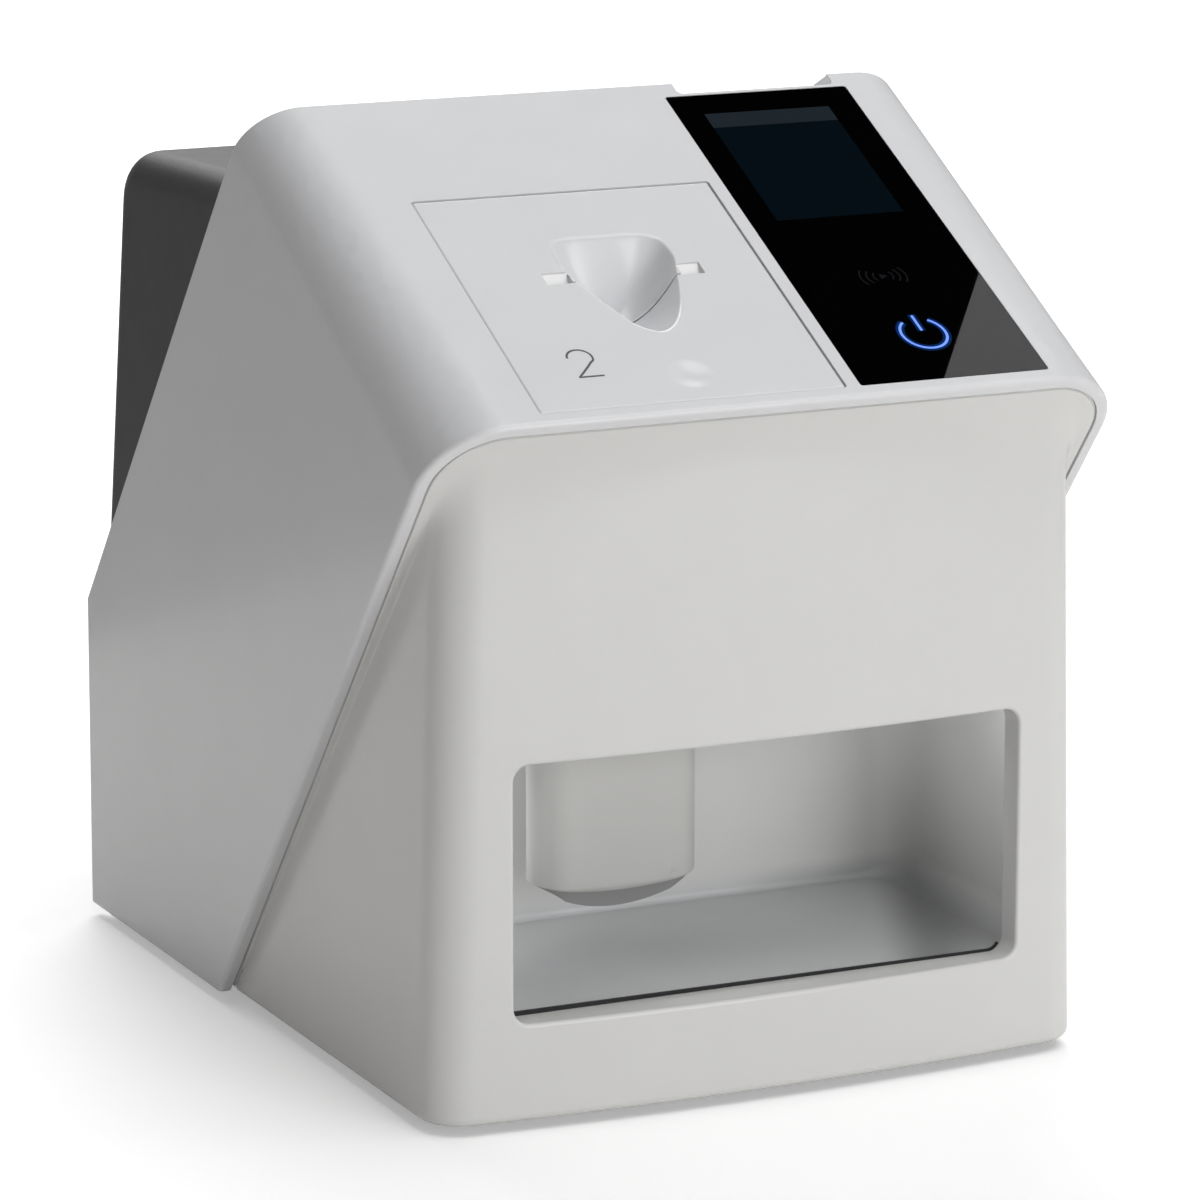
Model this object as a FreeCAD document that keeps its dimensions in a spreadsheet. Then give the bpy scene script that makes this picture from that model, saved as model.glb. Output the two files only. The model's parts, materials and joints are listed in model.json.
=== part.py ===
import FreeCAD, Part
# Desktop plate scanner, modelled as it is put together: a white hood bent like an
# upside-down U, a front fascia with the output window, a dark rear cover, and the
# plate transport, the scanning drum and the electronics inside.
# +X right, +Y to the back, +Z up, millimetres.  The origin lies on the table under
# the middle of the outer box.
import math
import os
import Sketcher

V = FreeCAD.Vector
os.makedirs("parts", exist_ok=True)
doc = FreeCAD.newDocument("plate_scanner")
sheet = doc.addObject("Spreadsheet::Sheet", "Sheet")

CELLS = [
    # hood, side view
    ("hood_wide", 230.0, "hood width at its lower edge"),
    ("hood_wall", 4.0, "hood wall"),
    ("hood_draft", 0.0045, "how far each hood side leans in per mm of height"),
    ("hood_round", 24.6, "round between hood side and sloping top, at the lip"),
    ("crest_round", 19.0, "the same round at the crest"),
    ("foot_rise", 3.0, "height of the lower edges above the table"),
    ("back_y", 142.5, "rear edge of the hood"),
    ("back_knee", 108.4, "height where the rear edge starts to lean"),
    ("crest_y", -3.55, "rear end of the sloping top, y"),
    ("crest_z", 289.8, "rear end of the sloping top, z"),
    ("lip_y", -146.8, "front lip, y"),
    ("lip_z", 215.0, "front lip, z"),
    ("toe_y", 27.1, "lower end of the slanted front edge, y"),
    ("top_deg", 27.57, "slope of the top"),
    ("top_len", 161.6, "length of the sloping top"),
    ("seam", 0.8, "seam between hood and the covers"),
    # openings in the sloping top, u counts down the slope from the crest
    ("glass_x1", 24.5, "display opening, left"),
    ("glass_x2", 88.1, "display opening, right"),
    ("glass_u1", 6.8, "display opening, upper end"),
    ("glass_u2", 156.5, "display opening, lower end"),
    ("ins_x1", -79.3, "insert opening, left"),
    ("ins_x2", 20.1, "insert opening, right"),
    ("ins_u1", 51.6, "insert opening, upper end"),
    ("ins_u2", 156.6, "insert opening, lower end"),
    ("notch_x1", 30.0, "notch in the crest, left"),
    ("notch_x2", 84.6, "notch in the crest, right"),
    ("notch_u", 5.6, "notch depth down the slope"),
    # front fascia
    ("fas_wide", 219.5, "fascia width at its lower edge"),
    ("fas_draft", 0.025, "how far each fascia side leans in per mm"),
    ("fas_y", -132.0, "fascia front at its corners"),
    ("fas_bulge", 6.2, "crown of the fascia front"),
    ("fas_round", 14.0, "round of the vertical corners"),
    ("fas_wall", 3.0, "fascia wall"),
    ("win_half", 84.4, "output window, half width"),
    ("win_z1", 33.0, "output window, lower edge"),
    ("win_z2", 111.7, "output window, upper edge"),
    ("win_round", 5.0, "output window, corner round"),
    ("win_back", -125.5, "rear edge of the window reveal"),
    # output chamber
    ("cham_half", 99.0, "chamber, half width inside"),
    ("cham_back", -33.3, "chamber, rear wall"),
    ("cham_front", -124.4, "chamber, front rim"),
    ("cham_floor", 31.4, "chamber floor under the pad"),
    ("cham_top", 115.0, "chamber ceiling"),
    ("cham_round", 15.0, "chamber, rear corner round"),
    ("cham_wall", 2.2, "chamber wall"),
    # outlet chute
    ("path_x", -25.5, "middle of the plate path"),
    ("path_y", -76.0, "plane of the plate path"),
    ("chute_a", 27.6, "chute half width"),
    ("chute_b", 9.8, "chute half depth"),
    ("chute_rim", 57.7, "height where the chute starts to round off"),
    ("chute_cap", 9.3, "height of the rounded lower end"),
    # insert
    ("slot_u", 94.2, "plate slot, down the slope"),
    ("slot_half", 26.4, "plate slot, half length"),
    ("slot_w", 5.4, "plate slot, width"),
    ("recess_deep", 17.8, "finger recess, depth"),
    # rear cover
    ("rear_half", 108.6, "rear cover, half width"),
    ("rear_y", 146.0, "rear cover, rear face"),
    ("rear_knee", 121.0, "height where the rear face starts to lean"),
    ("rear_top_y", 124.0, "rear cover, y of its leaning face at the top"),
    ("rear_top_z", 261.4, "rear cover, top"),
    ("rear_round", 11.0, "rear cover, long edge round"),
    ("rear_wall", 2.5, "rear cover wall"),
    # transport and scan unit
    ("drum_r", 27.0, "scan drum radius"),
    ("drum_y", -48.0, "scan drum axis, y"),
    ("slit_z", 170.0, "height of the scanning slit"),
    ("roll_r", 6.0, "transport roller radius"),
    ("roll_y", -84.3, "transport roller axes, y"),
    ("roll_z1", 132.0, "lower roller axis"),
    ("roll_z2", 203.0, "upper roller axis"),
    ("shaft_r", 2.0, "roller shaft radius"),
    ("pul_r1", 5.0, "motor pulley radius"),
    ("pul_r2", 8.0, "roller pulley radius"),
    ("motor_y", -30.0, "motor axis, y"),
    ("motor_z", 150.0, "motor axis, z"),
    ("deck_z", 119.0, "underside of the chassis deck"),
    ("pcb_y", 126.0, "main board, front face"),
    ("fan_x", 58.0, "fan axis, x"),
    ("fan_z", 92.0, "fan axis, z"),
    ("btn_x", -62.0, "reset button, x"),
    ("btn_z", 34.0, "reset button, z"),
    ("btn_r", 2.5, "reset button radius"),
]
for i, (alias, val, note) in enumerate(CELLS, 1):
    sheet.set("A%d" % i, note)
    sheet.set("B%d" % i, "%g" % val)
    sheet.setAlias("B%d" % i, alias)
doc.recompute()


class E:
    """A size with its number and the sheet formula it comes from."""

    def __init__(self, v, x):
        self.v, self.x = float(v), x

    @staticmethod
    def of(o):
        return o if isinstance(o, E) else E(o, "%.6g" % o if o >= 0 else "(%.6g)" % o)

    def _op(self, o, s, f, swap=False):
        o = E.of(o)
        a, b = (o, self) if swap else (self, o)
        return E(f(a.v, b.v), "(%s %s %s)" % (a.x, s, b.x))

    def __add__(self, o): return self._op(o, "+", lambda a, b: a + b)
    def __radd__(self, o): return self._op(o, "+", lambda a, b: a + b, True)
    def __sub__(self, o): return self._op(o, "-", lambda a, b: a - b)
    def __rsub__(self, o): return self._op(o, "-", lambda a, b: a - b, True)
    def __mul__(self, o): return self._op(o, "*", lambda a, b: a * b)
    def __rmul__(self, o): return self._op(o, "*", lambda a, b: a * b, True)
    def __truediv__(self, o): return self._op(o, "/", lambda a, b: a / b)
    def __neg__(self): return E(-self.v, "(0 - %s)" % self.x)


def P(alias):
    return E(float(sheet.get(alias)), "Sheet." + alias)


def num(o):
    return o.v if isinstance(o, E) else float(o)


FR = {
    "xy": FreeCAD.Rotation(),
    "side": FreeCAD.Rotation(V(1, 1, 1), 120),      # sketch x -> Y, y -> Z, pad -> +X
    "front": FreeCAD.Rotation(V(1, 0, 0), 90),      # sketch x -> X, y -> Z, pad -> -Y
    "top": FreeCAD.Rotation(V(1, 0, 0), num(P("top_deg"))),
}
count = [0]


def uid(stem):
    count[0] += 1
    return "%s_%03d" % (stem, count[0])


def place(obj, at=(0, 0, 0), rot=None):
    obj.Placement = FreeCAD.Placement(V(*[num(a) for a in at]), rot or FreeCAD.Rotation())
    for a, ax in zip(at, "xyz"):
        if isinstance(a, E):
            obj.setExpression("Placement.Base." + ax, a.x)
    return obj


def prism(pts, h, frame="xy", at=(0, 0, 0), rounds=None, arcs=None):
    """A pad of a closed outline.  rounds: {corner: radius}, arcs: {side: crown}."""
    body = doc.addObject("PartDesign::Body", uid("Body"))
    sk = body.newObject("Sketcher::SketchObject", uid("Outline"))
    plane = [f for f in body.Origin.OriginFeatures if f.Role == "XY_Plane"][0]
    sk.AttachmentSupport = (plane, "")
    sk.MapMode = "FlatFace"
    n = len(pts)
    P2 = [(num(a), num(b)) for a, b in pts]
    ids = []
    for i in range(n):
        a, b = P2[i], P2[(i + 1) % n]
        if arcs and i in arcs:
            s = num(arcs[i])
            dx, dy = b[0] - a[0], b[1] - a[1]
            L = math.hypot(dx, dy)
            mid = V((a[0] + b[0]) / 2 + dy / L * s, (a[1] + b[1]) / 2 - dx / L * s, 0)
            ids.append(sk.addGeometry(Part.Arc(V(a[0], a[1], 0), mid, V(b[0], b[1], 0)), False))
        else:
            ids.append(sk.addGeometry(Part.LineSegment(V(a[0], a[1], 0), V(b[0], b[1], 0)), False))

    def end_at(g, p):
        q = sk.getPoint(g, 1)
        return 1 if math.hypot(q.x - p[0], q.y - p[1]) < 1e-6 else 2

    for i in range(n):
        j = (i + 1) % n
        sk.addConstraint(Sketcher.Constraint("Coincident", ids[i], end_at(ids[i], P2[j]), ids[j], end_at(ids[j], P2[j])))
    for i in range(n):
        g, e = ids[i], end_at(ids[i], P2[i])
        for k, kind in ((0, "DistanceX"), (1, "DistanceY")):
            val = P2[i][k]
            if abs(val) < 1e-9 and not isinstance(pts[i][k], E):
                c = sk.addConstraint(Sketcher.Constraint("PointOnObject", g, e, -2 if k == 0 else -1))
            else:
                c = sk.addConstraint(Sketcher.Constraint(kind, -1, 1, g, e, val))
                if isinstance(pts[i][k], E):
                    sk.setExpression("Constraints[%d]" % c, pts[i][k].x)
    if arcs:
        for i in arcs:
            a, b = P2[i], P2[(i + 1) % n]
            L = math.hypot(b[0] - a[0], b[1] - a[1])
            s = abs(num(arcs[i]))
            sk.addConstraint(Sketcher.Constraint("Radius", ids[i], (L * L / 4 + s * s) / (2 * s)))
    pad = body.newObject("PartDesign::Pad", uid("Pad"))
    pad.Profile = sk
    pad.Length = num(h)
    if isinstance(h, E):
        pad.setExpression("Length", h.x)
    body.Tip = pad
    doc.recompute()
    if rounds:
        by = {}
        for i, r in rounds.items():
            by.setdefault(num(r), (r, []))[1].append(i)
        for rv, (r, idx) in by.items():
            base = body.Tip
            names = []
            for i in idx:
                for k, ed in enumerate(base.Shape.Edges, 1):
                    vs = [v.Point for v in ed.Vertexes]
                    if len(vs) == 2 and all(math.hypot(v.x - P2[i][0], v.y - P2[i][1]) < 1e-4 for v in vs):
                        names.append("Edge%d" % k)
            f = body.newObject("PartDesign::Fillet", uid("Round"))
            f.Base = (base, names)
            f.Radius = rv
            if isinstance(r, E):
                f.setExpression("Radius", r.x)
            body.Tip = f
            doc.recompute()
    return place(body, at, FR[frame] if isinstance(frame, str) else frame)


def rect(x1, x2, y1, y2):
    return [(x1, y1), (x2, y1), (x2, y2), (x1, y2)]


def box(x1, x2, y1, y2, z1, z2):
    b = doc.addObject("Part::Box", uid("Box"))
    for prop, lo, hi in (("Length", x1, x2), ("Width", y1, y2), ("Height", z1, z2)):
        setattr(b, prop, num(hi) - num(lo))
        if isinstance(hi, E) or isinstance(lo, E):
            b.setExpression(prop, (E.of(hi) - E.of(lo)).x)
    return place(b, (x1, y1, z1))


AX = {"z": FreeCAD.Rotation(), "x": FreeCAD.Rotation(V(0, 1, 0), 90), "y": FreeCAD.Rotation(V(1, 0, 0), -90)}


def cyl(r, h, at, axis="z"):
    c = doc.addObject("Part::Cylinder", uid("Cyl"))
    c.Radius, c.Height = num(r), num(h)
    if isinstance(r, E):
        c.setExpression("Radius", r.x)
    if isinstance(h, E):
        c.setExpression("Height", h.x)
    return place(c, at, AX[axis] if isinstance(axis, str) else axis)


def cone(r1, r2, h, at, axis="z"):
    c = doc.addObject("Part::Cone", uid("Cone"))
    c.Radius1, c.Radius2, c.Height = num(r1), num(r2), num(h)
    return place(c, at, AX[axis] if isinstance(axis, str) else axis)


def ball(rx, ry, rz, at, rot=None):
    s = doc.addObject("Part::Ellipsoid", uid("Ball"))
    s.Radius1, s.Radius2, s.Radius3 = num(rz), num(rx), num(ry)
    return place(s, at, rot)


def fuse(*objs):
    objs = list(objs)
    if len(objs) == 1:
        return objs[0]
    f = doc.addObject("Part::MultiFuse", uid("Fuse"))
    f.Shapes = objs
    f.Refine = True
    doc.recompute()
    return f


def common(*objs):
    f = doc.addObject("Part::MultiCommon", uid("Common"))
    f.Shapes = list(objs)
    doc.recompute()
    return f


def cut(base, *tools):
    tool = fuse(*tools)
    c = doc.addObject("Part::Cut", uid("Cut"))
    c.Base = base
    c.Tool = tool
    c.Refine = True
    doc.recompute()
    return c


def group(*objs):
    g = doc.addObject("Part::Compound", uid("Group"))
    g.Links = list(objs)
    doc.recompute()
    return g


def rounded(base, radius, pick, upper=None):
    """Rounds the edges that pick(edge) names, with another radius at their upper ends if given."""
    doc.recompute()
    r = num(radius)
    ru = r if upper is None else num(upper)
    sel = [i for i, e in enumerate(base.Shape.Edges, 1) if pick(e)]
    f = doc.addObject("Part::Fillet", uid("Round"))
    f.Base = base
    ends = {i: base.Shape.Edges[i - 1] for i in sel}
    falls = {i: e.valueAt(e.FirstParameter).z > e.valueAt(e.LastParameter).z for i, e in ends.items()}
    f.Edges = [(i, ru, r) if falls[i] else (i, r, ru) for i in sel]
    doc.recompute()
    if not sel or f.Shape.isNull() or not f.Shape.isValid():
        raise RuntimeError("round failed: %s, %d edges" % (base.Name, len(sel)))
    return f


def raw(shape):
    o = doc.addObject("Part::Feature", uid("Shape"))
    o.Shape = shape
    return o


NODES = {}


def node(name, obj):
    obj.Label = name
    NODES[name] = obj
    return obj


def mid(e):
    a, b = e.FirstParameter, e.LastParameter
    return e.valueAt((a + b) / 2)


# ---------------------------------------------------------------- frame of the top
crest_y, crest_z = P("crest_y"), P("crest_z")
TA = math.radians(num(P("top_deg")))
TS, TC = math.sin(TA), math.cos(TA)


def top_at(x, u, up):
    """Point on the sloping top: x, distance u down the slope, height above it."""
    return (x, num(crest_y) - u * TC - up * TS, num(crest_z) - u * TS + up * TC)


def top_prism(pts, depth, up=0.0, rounds=None, arcs=None):
    """Outline in (x, u) on the sloping top, padded from `up - depth` to `up`."""
    q = [(a, -b) for a, b in pts]
    if sum(num(q[i][0]) * num(q[(i + 1) % len(q)][1]) - num(q[(i + 1) % len(q)][0]) * num(q[i][1]) for i in range(len(q))) < 0:
        q = q[::-1]
        if rounds:
            rounds = {len(q) - 1 - k: v for k, v in rounds.items()}
    x, y, z = top_at(0, 0, num(up) - num(depth))
    return prism(q, depth, "top", (0, y, z), rounds, arcs)


# ---------------------------------------------------------------- hood envelope
def envelope(inset, front=0.0, back=0.0):
    """The hood's outer body, inset at its sides and its top."""
    iv = num(inset)
    half = P("hood_wide") / 2 - inset
    pts = [(P("toe_y") , P("foot_rise")), (P("back_y"), P("foot_rise")), (P("back_y"), P("back_knee")),
           (crest_y + 0, crest_z + 0), (P("lip_y") + 0, P("lip_z") + 0)]
    b = prism(pts, half * 2, "side", (-half, 0, 0))
    tools = []
    if iv > 0:
        x, y, z = top_at(0, -40, -iv)
        lid = prism(rect(-140, 140, -260, 60), 60, "top", (0, y, z))
        tools.append(lid)
    lean = P("hood_draft") * 300
    for sgn in (1, -1):
        w = [(sgn * half, 0), (sgn * (half + 8), 0), (sgn * (half + 8), 300), (sgn * (half - lean), 300)]
        if sgn < 0:
            w = w[::-1]
        tools.append(prism(w, 420, "front", (0, 210, P("foot_rise"))))
    c = cut(b, *tools)
    rr = num(P("hood_round")) - iv

    def on_top(e):
        if len(e.Vertexes) != 2:
            return False
        a, b2 = e.Vertexes[0].Point, e.Vertexes[1].Point
        d = b2 - a
        if d.Length < 100 or abs(abs(d.z / d.Length) - TS) > 0.02 or abs(d.y) < 50:
            return False
        h = (a.y - num(crest_y)) * -TS + (a.z - num(crest_z)) * TC
        return abs(h + iv) < 0.1 and abs(a.x) > 90
    return rounded(c, rr, on_top, num(P("crest_round")) - iv)


outer = envelope(0.0)
outer = rounded(outer, 4.0, lambda e: abs(mid(e).y - num(P("toe_y"))) < 0.1 and abs(mid(e).z - 3) < 0.1 and e.Length > 150)

# cavity of the hood: the same U, open at the front, the back and below
wall = P("hood_wall")
half_in = P("hood_wide") / 2 - wall
lean = P("hood_draft") * 300


def cavity(half, drop, radius):
    """Room under the sloping top, drop below it, between two leaning sides."""
    hv = num(half)
    x, y0, z0 = top_at(0, -40, -drop)
    x, y1, z1 = top_at(0, 230, -drop)
    b = prism([(y1, -20), (260, -20), (260, z0), (y0, z0), (y1, z1)], half * 2, "side", (-half, 0, 0))
    tools = []
    for sgn in (1, -1):
        w = [(sgn * half, 0), (sgn * (half + 8), 0), (sgn * (half + 8), 320), (sgn * (half - lean), 320)]
        if sgn < 0:
            w = w[::-1]
        tools.append(prism(w, 620, "front", (0, 300, P("foot_rise"))))
    c = cut(b, *tools)

    def pick(e):
        if len(e.Vertexes) != 2:
            return False
        a, b2 = e.Vertexes[0].Point, e.Vertexes[1].Point
        d = b2 - a
        return d.Length > 100 and abs(abs(d.z / d.Length) - TS) < 0.02 and abs(a.x) > 90 and abs(d.y) > 50
    return rounded(c, radius, pick)


hood_cav = cavity(half_in, 4.0, num(P("hood_round")) - 4.0)
shell = cut(outer, hood_cav)

gl = (P("glass_x1"), P("glass_x2"), P("glass_u1"), P("glass_u2"))
ins = (P("ins_x1"), P("ins_x2"), P("ins_u1"), P("ins_u2"))
hood = cut(shell,
           top_prism(rect(*gl), 4.1, 2.0, {0: 1.0, 1: 1.0, 2: 1.0, 3: 1.0}),
           top_prism(rect(gl[0] + 3, gl[1] - 3, gl[2] + 3, gl[3] - 3), 12, 2.0),
           top_prism(rect(*ins), 4.6, 2.0, {0: 1.2, 1: 1.2, 2: 1.2, 3: 1.2}),
           top_prism(rect(ins[0] + 4, ins[1] - 4, ins[2] + 4, ins[3] - 4), 12, 2.0),
           top_prism(rect(P("notch_x1"), P("notch_x2"), -20, P("notch_u")), 34, 4.0, {2: 2.0, 3: 2.0}))


def is_lip(e):
    """Outer edges of the hood's slanted front face."""
    p = mid(e)
    dy, dz = num(P("toe_y")) - num(P("lip_y")), num(P("foot_rise")) - num(P("lip_z"))
    L = math.hypot(dy, dz)
    off = (p.y - num(P("lip_y"))) * -dz / L + (p.z - num(P("lip_z"))) * dy / L
    if abs(off) > 0.05 or p.z < 8:
        return False
    half = num(P("hood_wide")) / 2 - num(P("hood_draft")) * (p.z - 3)
    top_gap = -((p.y - num(crest_y)) * -TS + (p.z - num(crest_z)) * TC)
    return abs(p.x) > half - 0.3 or top_gap < 0.3 or (top_gap < 9 and abs(p.x) > half - 9 and top_gap + half - abs(p.x) < 16.0 and e.Length > 25 and e.Length < 45 and (half - abs(p.x) < 7.4))


hood = rounded(hood, 1.6, lambda e: is_lip(e))
node("hood", hood)

# ---------------------------------------------------------------- front fascia
DY, DZ = num(P("toe_y")) - num(P("lip_y")), num(P("foot_rise")) - num(P("lip_z"))
DL = math.hypot(DY, DZ)
SY, SZ = DY / DL, DZ / DL               # down along the slanted front
NY, NZ = SZ, -SY                        # out of the slanted front (forward and down)


def slant(along, out):
    return (num(P("lip_y")) + SY * along + NY * out, num(P("lip_z")) + SZ * along + NZ * out)


def fas_block(inset, floor):
    a = P("fas_wide") / 2 - inset
    y = P("fas_y") + inset
    b = prism([(-a, y), (a, y), (a, 60), (-a, 60)], 230 - floor, "xy", (0, 0, P("foot_rise") + floor), arcs={0: P("fas_bulge")})
    tools = []
    for sgn in (1, -1):
        w = [(sgn * a, 0), (sgn * (a + 9), 0), (sgn * (a + 9), 240), (sgn * (a - P("fas_draft") * 240), 240)]
        if sgn < 0:
            w = w[::-1]
        tools.append(prism(w, 320, "front", (0, 100, P("foot_rise"))))
    c = cut(b, *tools)
    r = num(P("fas_round")) - num(inset)
    yv = num(y)
    return rounded(c, r, lambda e: len(e.Vertexes) == 2 and abs(mid(e).y - yv) < 1.5 and abs(mid(e).x) > 95 and e.Length > 150)


def band(y_in, y_out, x=130, front=True):
    """A slab beside the slanted front plane, from y_in to y_out outwards."""
    a, b = slant(-30, y_out), slant(330, y_out)
    c, d = slant(330, y_in), slant(-30, y_in)
    return prism([a, d, c, b], 2 * x, "side", (-x, 0, 0))


core_fas = cavity(P("hood_wide") / 2 - wall - P("seam"), num(wall) + num(P("seam")), num(P("hood_round")) - 4.8)
low = box(-140, 140, -220, 200, P("foot_rise"), 320)
plate = common(core_fas, band(-3.0, 0.0), low)
front_of = band(-3.0, 200)
block = common(fas_block(0.0, 0.0), front_of, core_fas, low)
# cove under the lip: the front sweeps forward into the slanted face
fy = num(P("fas_y"))
cove_pts = []
R_c = 26.0
# circle tangent to the upright front plane and to the slanted plane
ang = math.atan2(SY, -SZ)               # slanted plane against the vertical
z_corner = num(P("lip_z")) + SZ * ((fy - num(P("lip_y"))) / SY)
t_len = R_c * math.tan(ang / 2)
zc = z_corner - t_len
for k in range(9):
    a = ang * k / 8
    cove_pts.append((fy - R_c + R_c * math.cos(a), zc + R_c * math.sin(a)))
cove = prism([(fy + 6, zc)] + [(fy + 6, z_corner + 6)] + cove_pts[::-1], 190, "side", (-95, 0, 0))
cove = common(cove, front_of, core_fas)
skin = fuse(block, plate, cove)
# the room behind the front: the block inset by the wall, kept 3 mm off the slanted face above it
hollow = common(fas_block(P("fas_wall"), 0.0), band(-60, 3.0 + 400))
upper_keep = prism([slant(-30, 4.0), slant(-30, -3.0), (fy + 4.0, zc - 6.0), (fy + 3.0, zc - 6.0), (fy + 3.0 - 8, zc - 6.0)], 260, "side", (-130, 0, 0))
reveal_out = prism(rect(-P("win_half") - 2.2, P("win_half") + 2.2, P("win_z1") - 2.2, P("win_z2") + 2.2), 16, "front", (0, P("win_back"), 0), {i: 7.2 for i in range(4)})
reveal_in = prism(rect(-P("win_half"), P("win_half"), P("win_z1"), P("win_z2")), 40, "front", (0, -110, 0), {i: P("win_round") for i in range(4)})
hollow2 = cut(hollow, upper_keep)
fascia = cut(skin, hollow2)
reveal = common(reveal_out, fas_block(0.4, 0.0))
fascia = cut(fuse(fascia, reveal), reveal_in)
node("front_fascia", fascia)

# ---------------------------------------------------------------- rear cover
BY, BZ = num(P("back_y")) - num(crest_y), num(P("back_knee")) - num(crest_z)
BL = math.hypot(BY, BZ)
bY, bZ = BY / BL, BZ / BL               # down along the slanted back
mY, mZ = -bZ, bY                        # out of the slanted back (back and up)


def back_slant(along, out):
    return (num(crest_y) + bY * along + mY * out, num(crest_z) + bZ * along + mZ * out)


def rear_block(inset):
    iv = num(inset)
    ry, rk = P("rear_y") - inset, P("rear_knee")
    ty, tz = P("rear_top_y") - inset, P("rear_top_z") - inset
    half = P("rear_half") - inset
    pts = [(60, P("foot_rise") + 3.2), (ry, P("foot_rise") + 3.2), (ry, rk), (ty, tz), (-20, tz + 5)]
    b = prism(pts, half * 2, "side", (-half, 0, 0), {2: 40.0, 3: max(18.0 - iv, 4.0)})
    rr = num(P("rear_round")) - iv

    def pick(e):
        p = mid(e)
        if abs(abs(p.x) - num(half)) > 0.01 or e.Length < 3:
            return False
        return p.z > 8 and p.y > 20 and not (p.z < 120 and p.y < num(ry) - 3)
    return rounded(b, rr, pick)


low_rear = box(-140, 140, -60, 200, P("foot_rise") + 3.2, 320)
bp = [back_slant(-30, 0), back_slant(-30, -2.5), back_slant(BL + 60, -2.5), back_slant(BL + 60, 0)]
back_plate = common(cavity(P("hood_wide") / 2 - wall - P("seam"), 4.8, num(P("hood_round")) - 4.8),
                    prism(bp[::-1], 260, "side", (-130, 0, 0)), box(-140, 140, -60, P("back_y") - 0.0, P("foot_rise") + 3.2, 320))
b_low = back_slant(BL, -2.5)
behind = prism([back_slant(-30, -2.5), b_low, (b_low[0] - 4, b_low[1] - 6), (b_low[0] - 4, -20), (220, -20), (220, 330), back_slant(-30, 60)][::-1], 260, "side", (-130, 0, 0))
# the flat web that closes the hood's sides below the lean
web = common(cavity(P("hood_wide") / 2 - wall - P("seam"), 4.8, num(P("hood_round")) - 4.8), box(-140, 140, 138.4, 141.4, P("foot_rise") + 3.2, 107.0))
rear = fuse(common(rear_block(0.0), behind, low_rear), back_plate, web)
rear_hollow = common(rear_block(P("rear_wall")), prism([back_slant(-60, -30), back_slant(BL, -30), (100, 60), (100, -60), (220, -60), (220, 330), back_slant(-60, 60)][::-1], 260, "side", (-130, 0, 0)))
vents = []
for i in range(9):
    vents.append(prism(rect(-88, -8, 196 - i * 9, 200 - i * 9), 60, "front", (0, 170, 0), {k: 1.9 for k in range(4)}))
for i in range(8):
    a = 40 - 2 * abs(i - 3.5) * 3.0
    vents.append(prism(rect(P("fan_x") - 19, P("fan_x") + 19, 74 + i * 5.2, 76.8 + i * 5.2), 30, "front", (0, 160, 0), {k: 1.3 for k in range(4)}))
IO = [("lan", -10.0, 16.4, 22.0, 13.9), ("usb", 18.0, 12.6, 22.0, 11.4), ("dc", 44.0, 11.4, 22.0, 11.4)]
ports = [prism(rect(x - w / 2, x + w / 2, z, z + h), 30, "front", (0, 160, 0), {k: 0.8 for k in range(4)}) for n_, x, w, z, h in IO]
ports.append(cyl(P("btn_r") + 0.3, 30, (P("btn_x"), 130, P("btn_z")), "y"))
rear = cut(rear, rear_hollow, *vents, *ports)
node("rear_cover", rear)

# ---------------------------------------------------------------- base and feet
half_b = 104.0
base = prism([(-half_b, -124.0), (half_b, -124.0), (half_b, 40.0), (107.5, 44.0), (107.5, 141.5), (-107.5, 141.5), (-107.5, 44.0), (-half_b, 40.0)],
             3.0, "xy", (0, 0, P("foot_rise")), {0: 12.0, 1: 12.0})
rim_o = prism([(-half_b + 2, -122.0), (half_b - 2, -122.0), (half_b - 2, 136.0), (-half_b + 2, 136.0)], 6.0, "xy", (0, 0, 5.0), {0: 10.0, 1: 10.0})
rim_i = prism([(-half_b + 4, -120.0), (half_b - 4, -120.0), (half_b - 4, 134.0), (-half_b + 4, 134.0)], 8.0, "xy", (0, 0, 5.5), {0: 8.0, 1: 8.0})
FEET = [(-88, -104), (88, -104), (-88, 118), (88, 118)]
SCR = [(-80, -48), (80, -48), (-92, 60), (92, 60)]
base = cut(fuse(base, cut(rim_o, rim_i)),
           *[cyl(9.2, 1.4, (x, y, 2.0)) for x, y in FEET], *[cyl(1.8, 6, (x, y, 1.0)) for x, y in SCR], *[cyl(3.4, 2.7, (x, y, 2.0)) for x, y in SCR],
           *[prism(rect(-50, 50, -40 + i * 8, -36 + i * 8), 6, "xy", (0, 0, 1), {k: 1.9 for k in range(4)}) for i in range(6)])
node("base_plate", base)
feet = []
for x, y in FEET:
    f = cut(cyl(9.0, 3.35, (x, y, 0)), cyl(3.0, 1.2, (x, y, -0.01)))
    feet.append(rounded(f, 1.0, lambda e: abs(mid(e).z) < 0.01 and e.Length > 50))
node("rubber_feet", group(*feet))
node("base_screws", group(*[cut(fuse(cyl(3.1, 1.5, (x, y, 3.1)), cyl(1.5, 9, (x, y, 4.0))), cyl(1.3, 1.0, (x, y, 3.0))) for x, y in SCR]))

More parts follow.
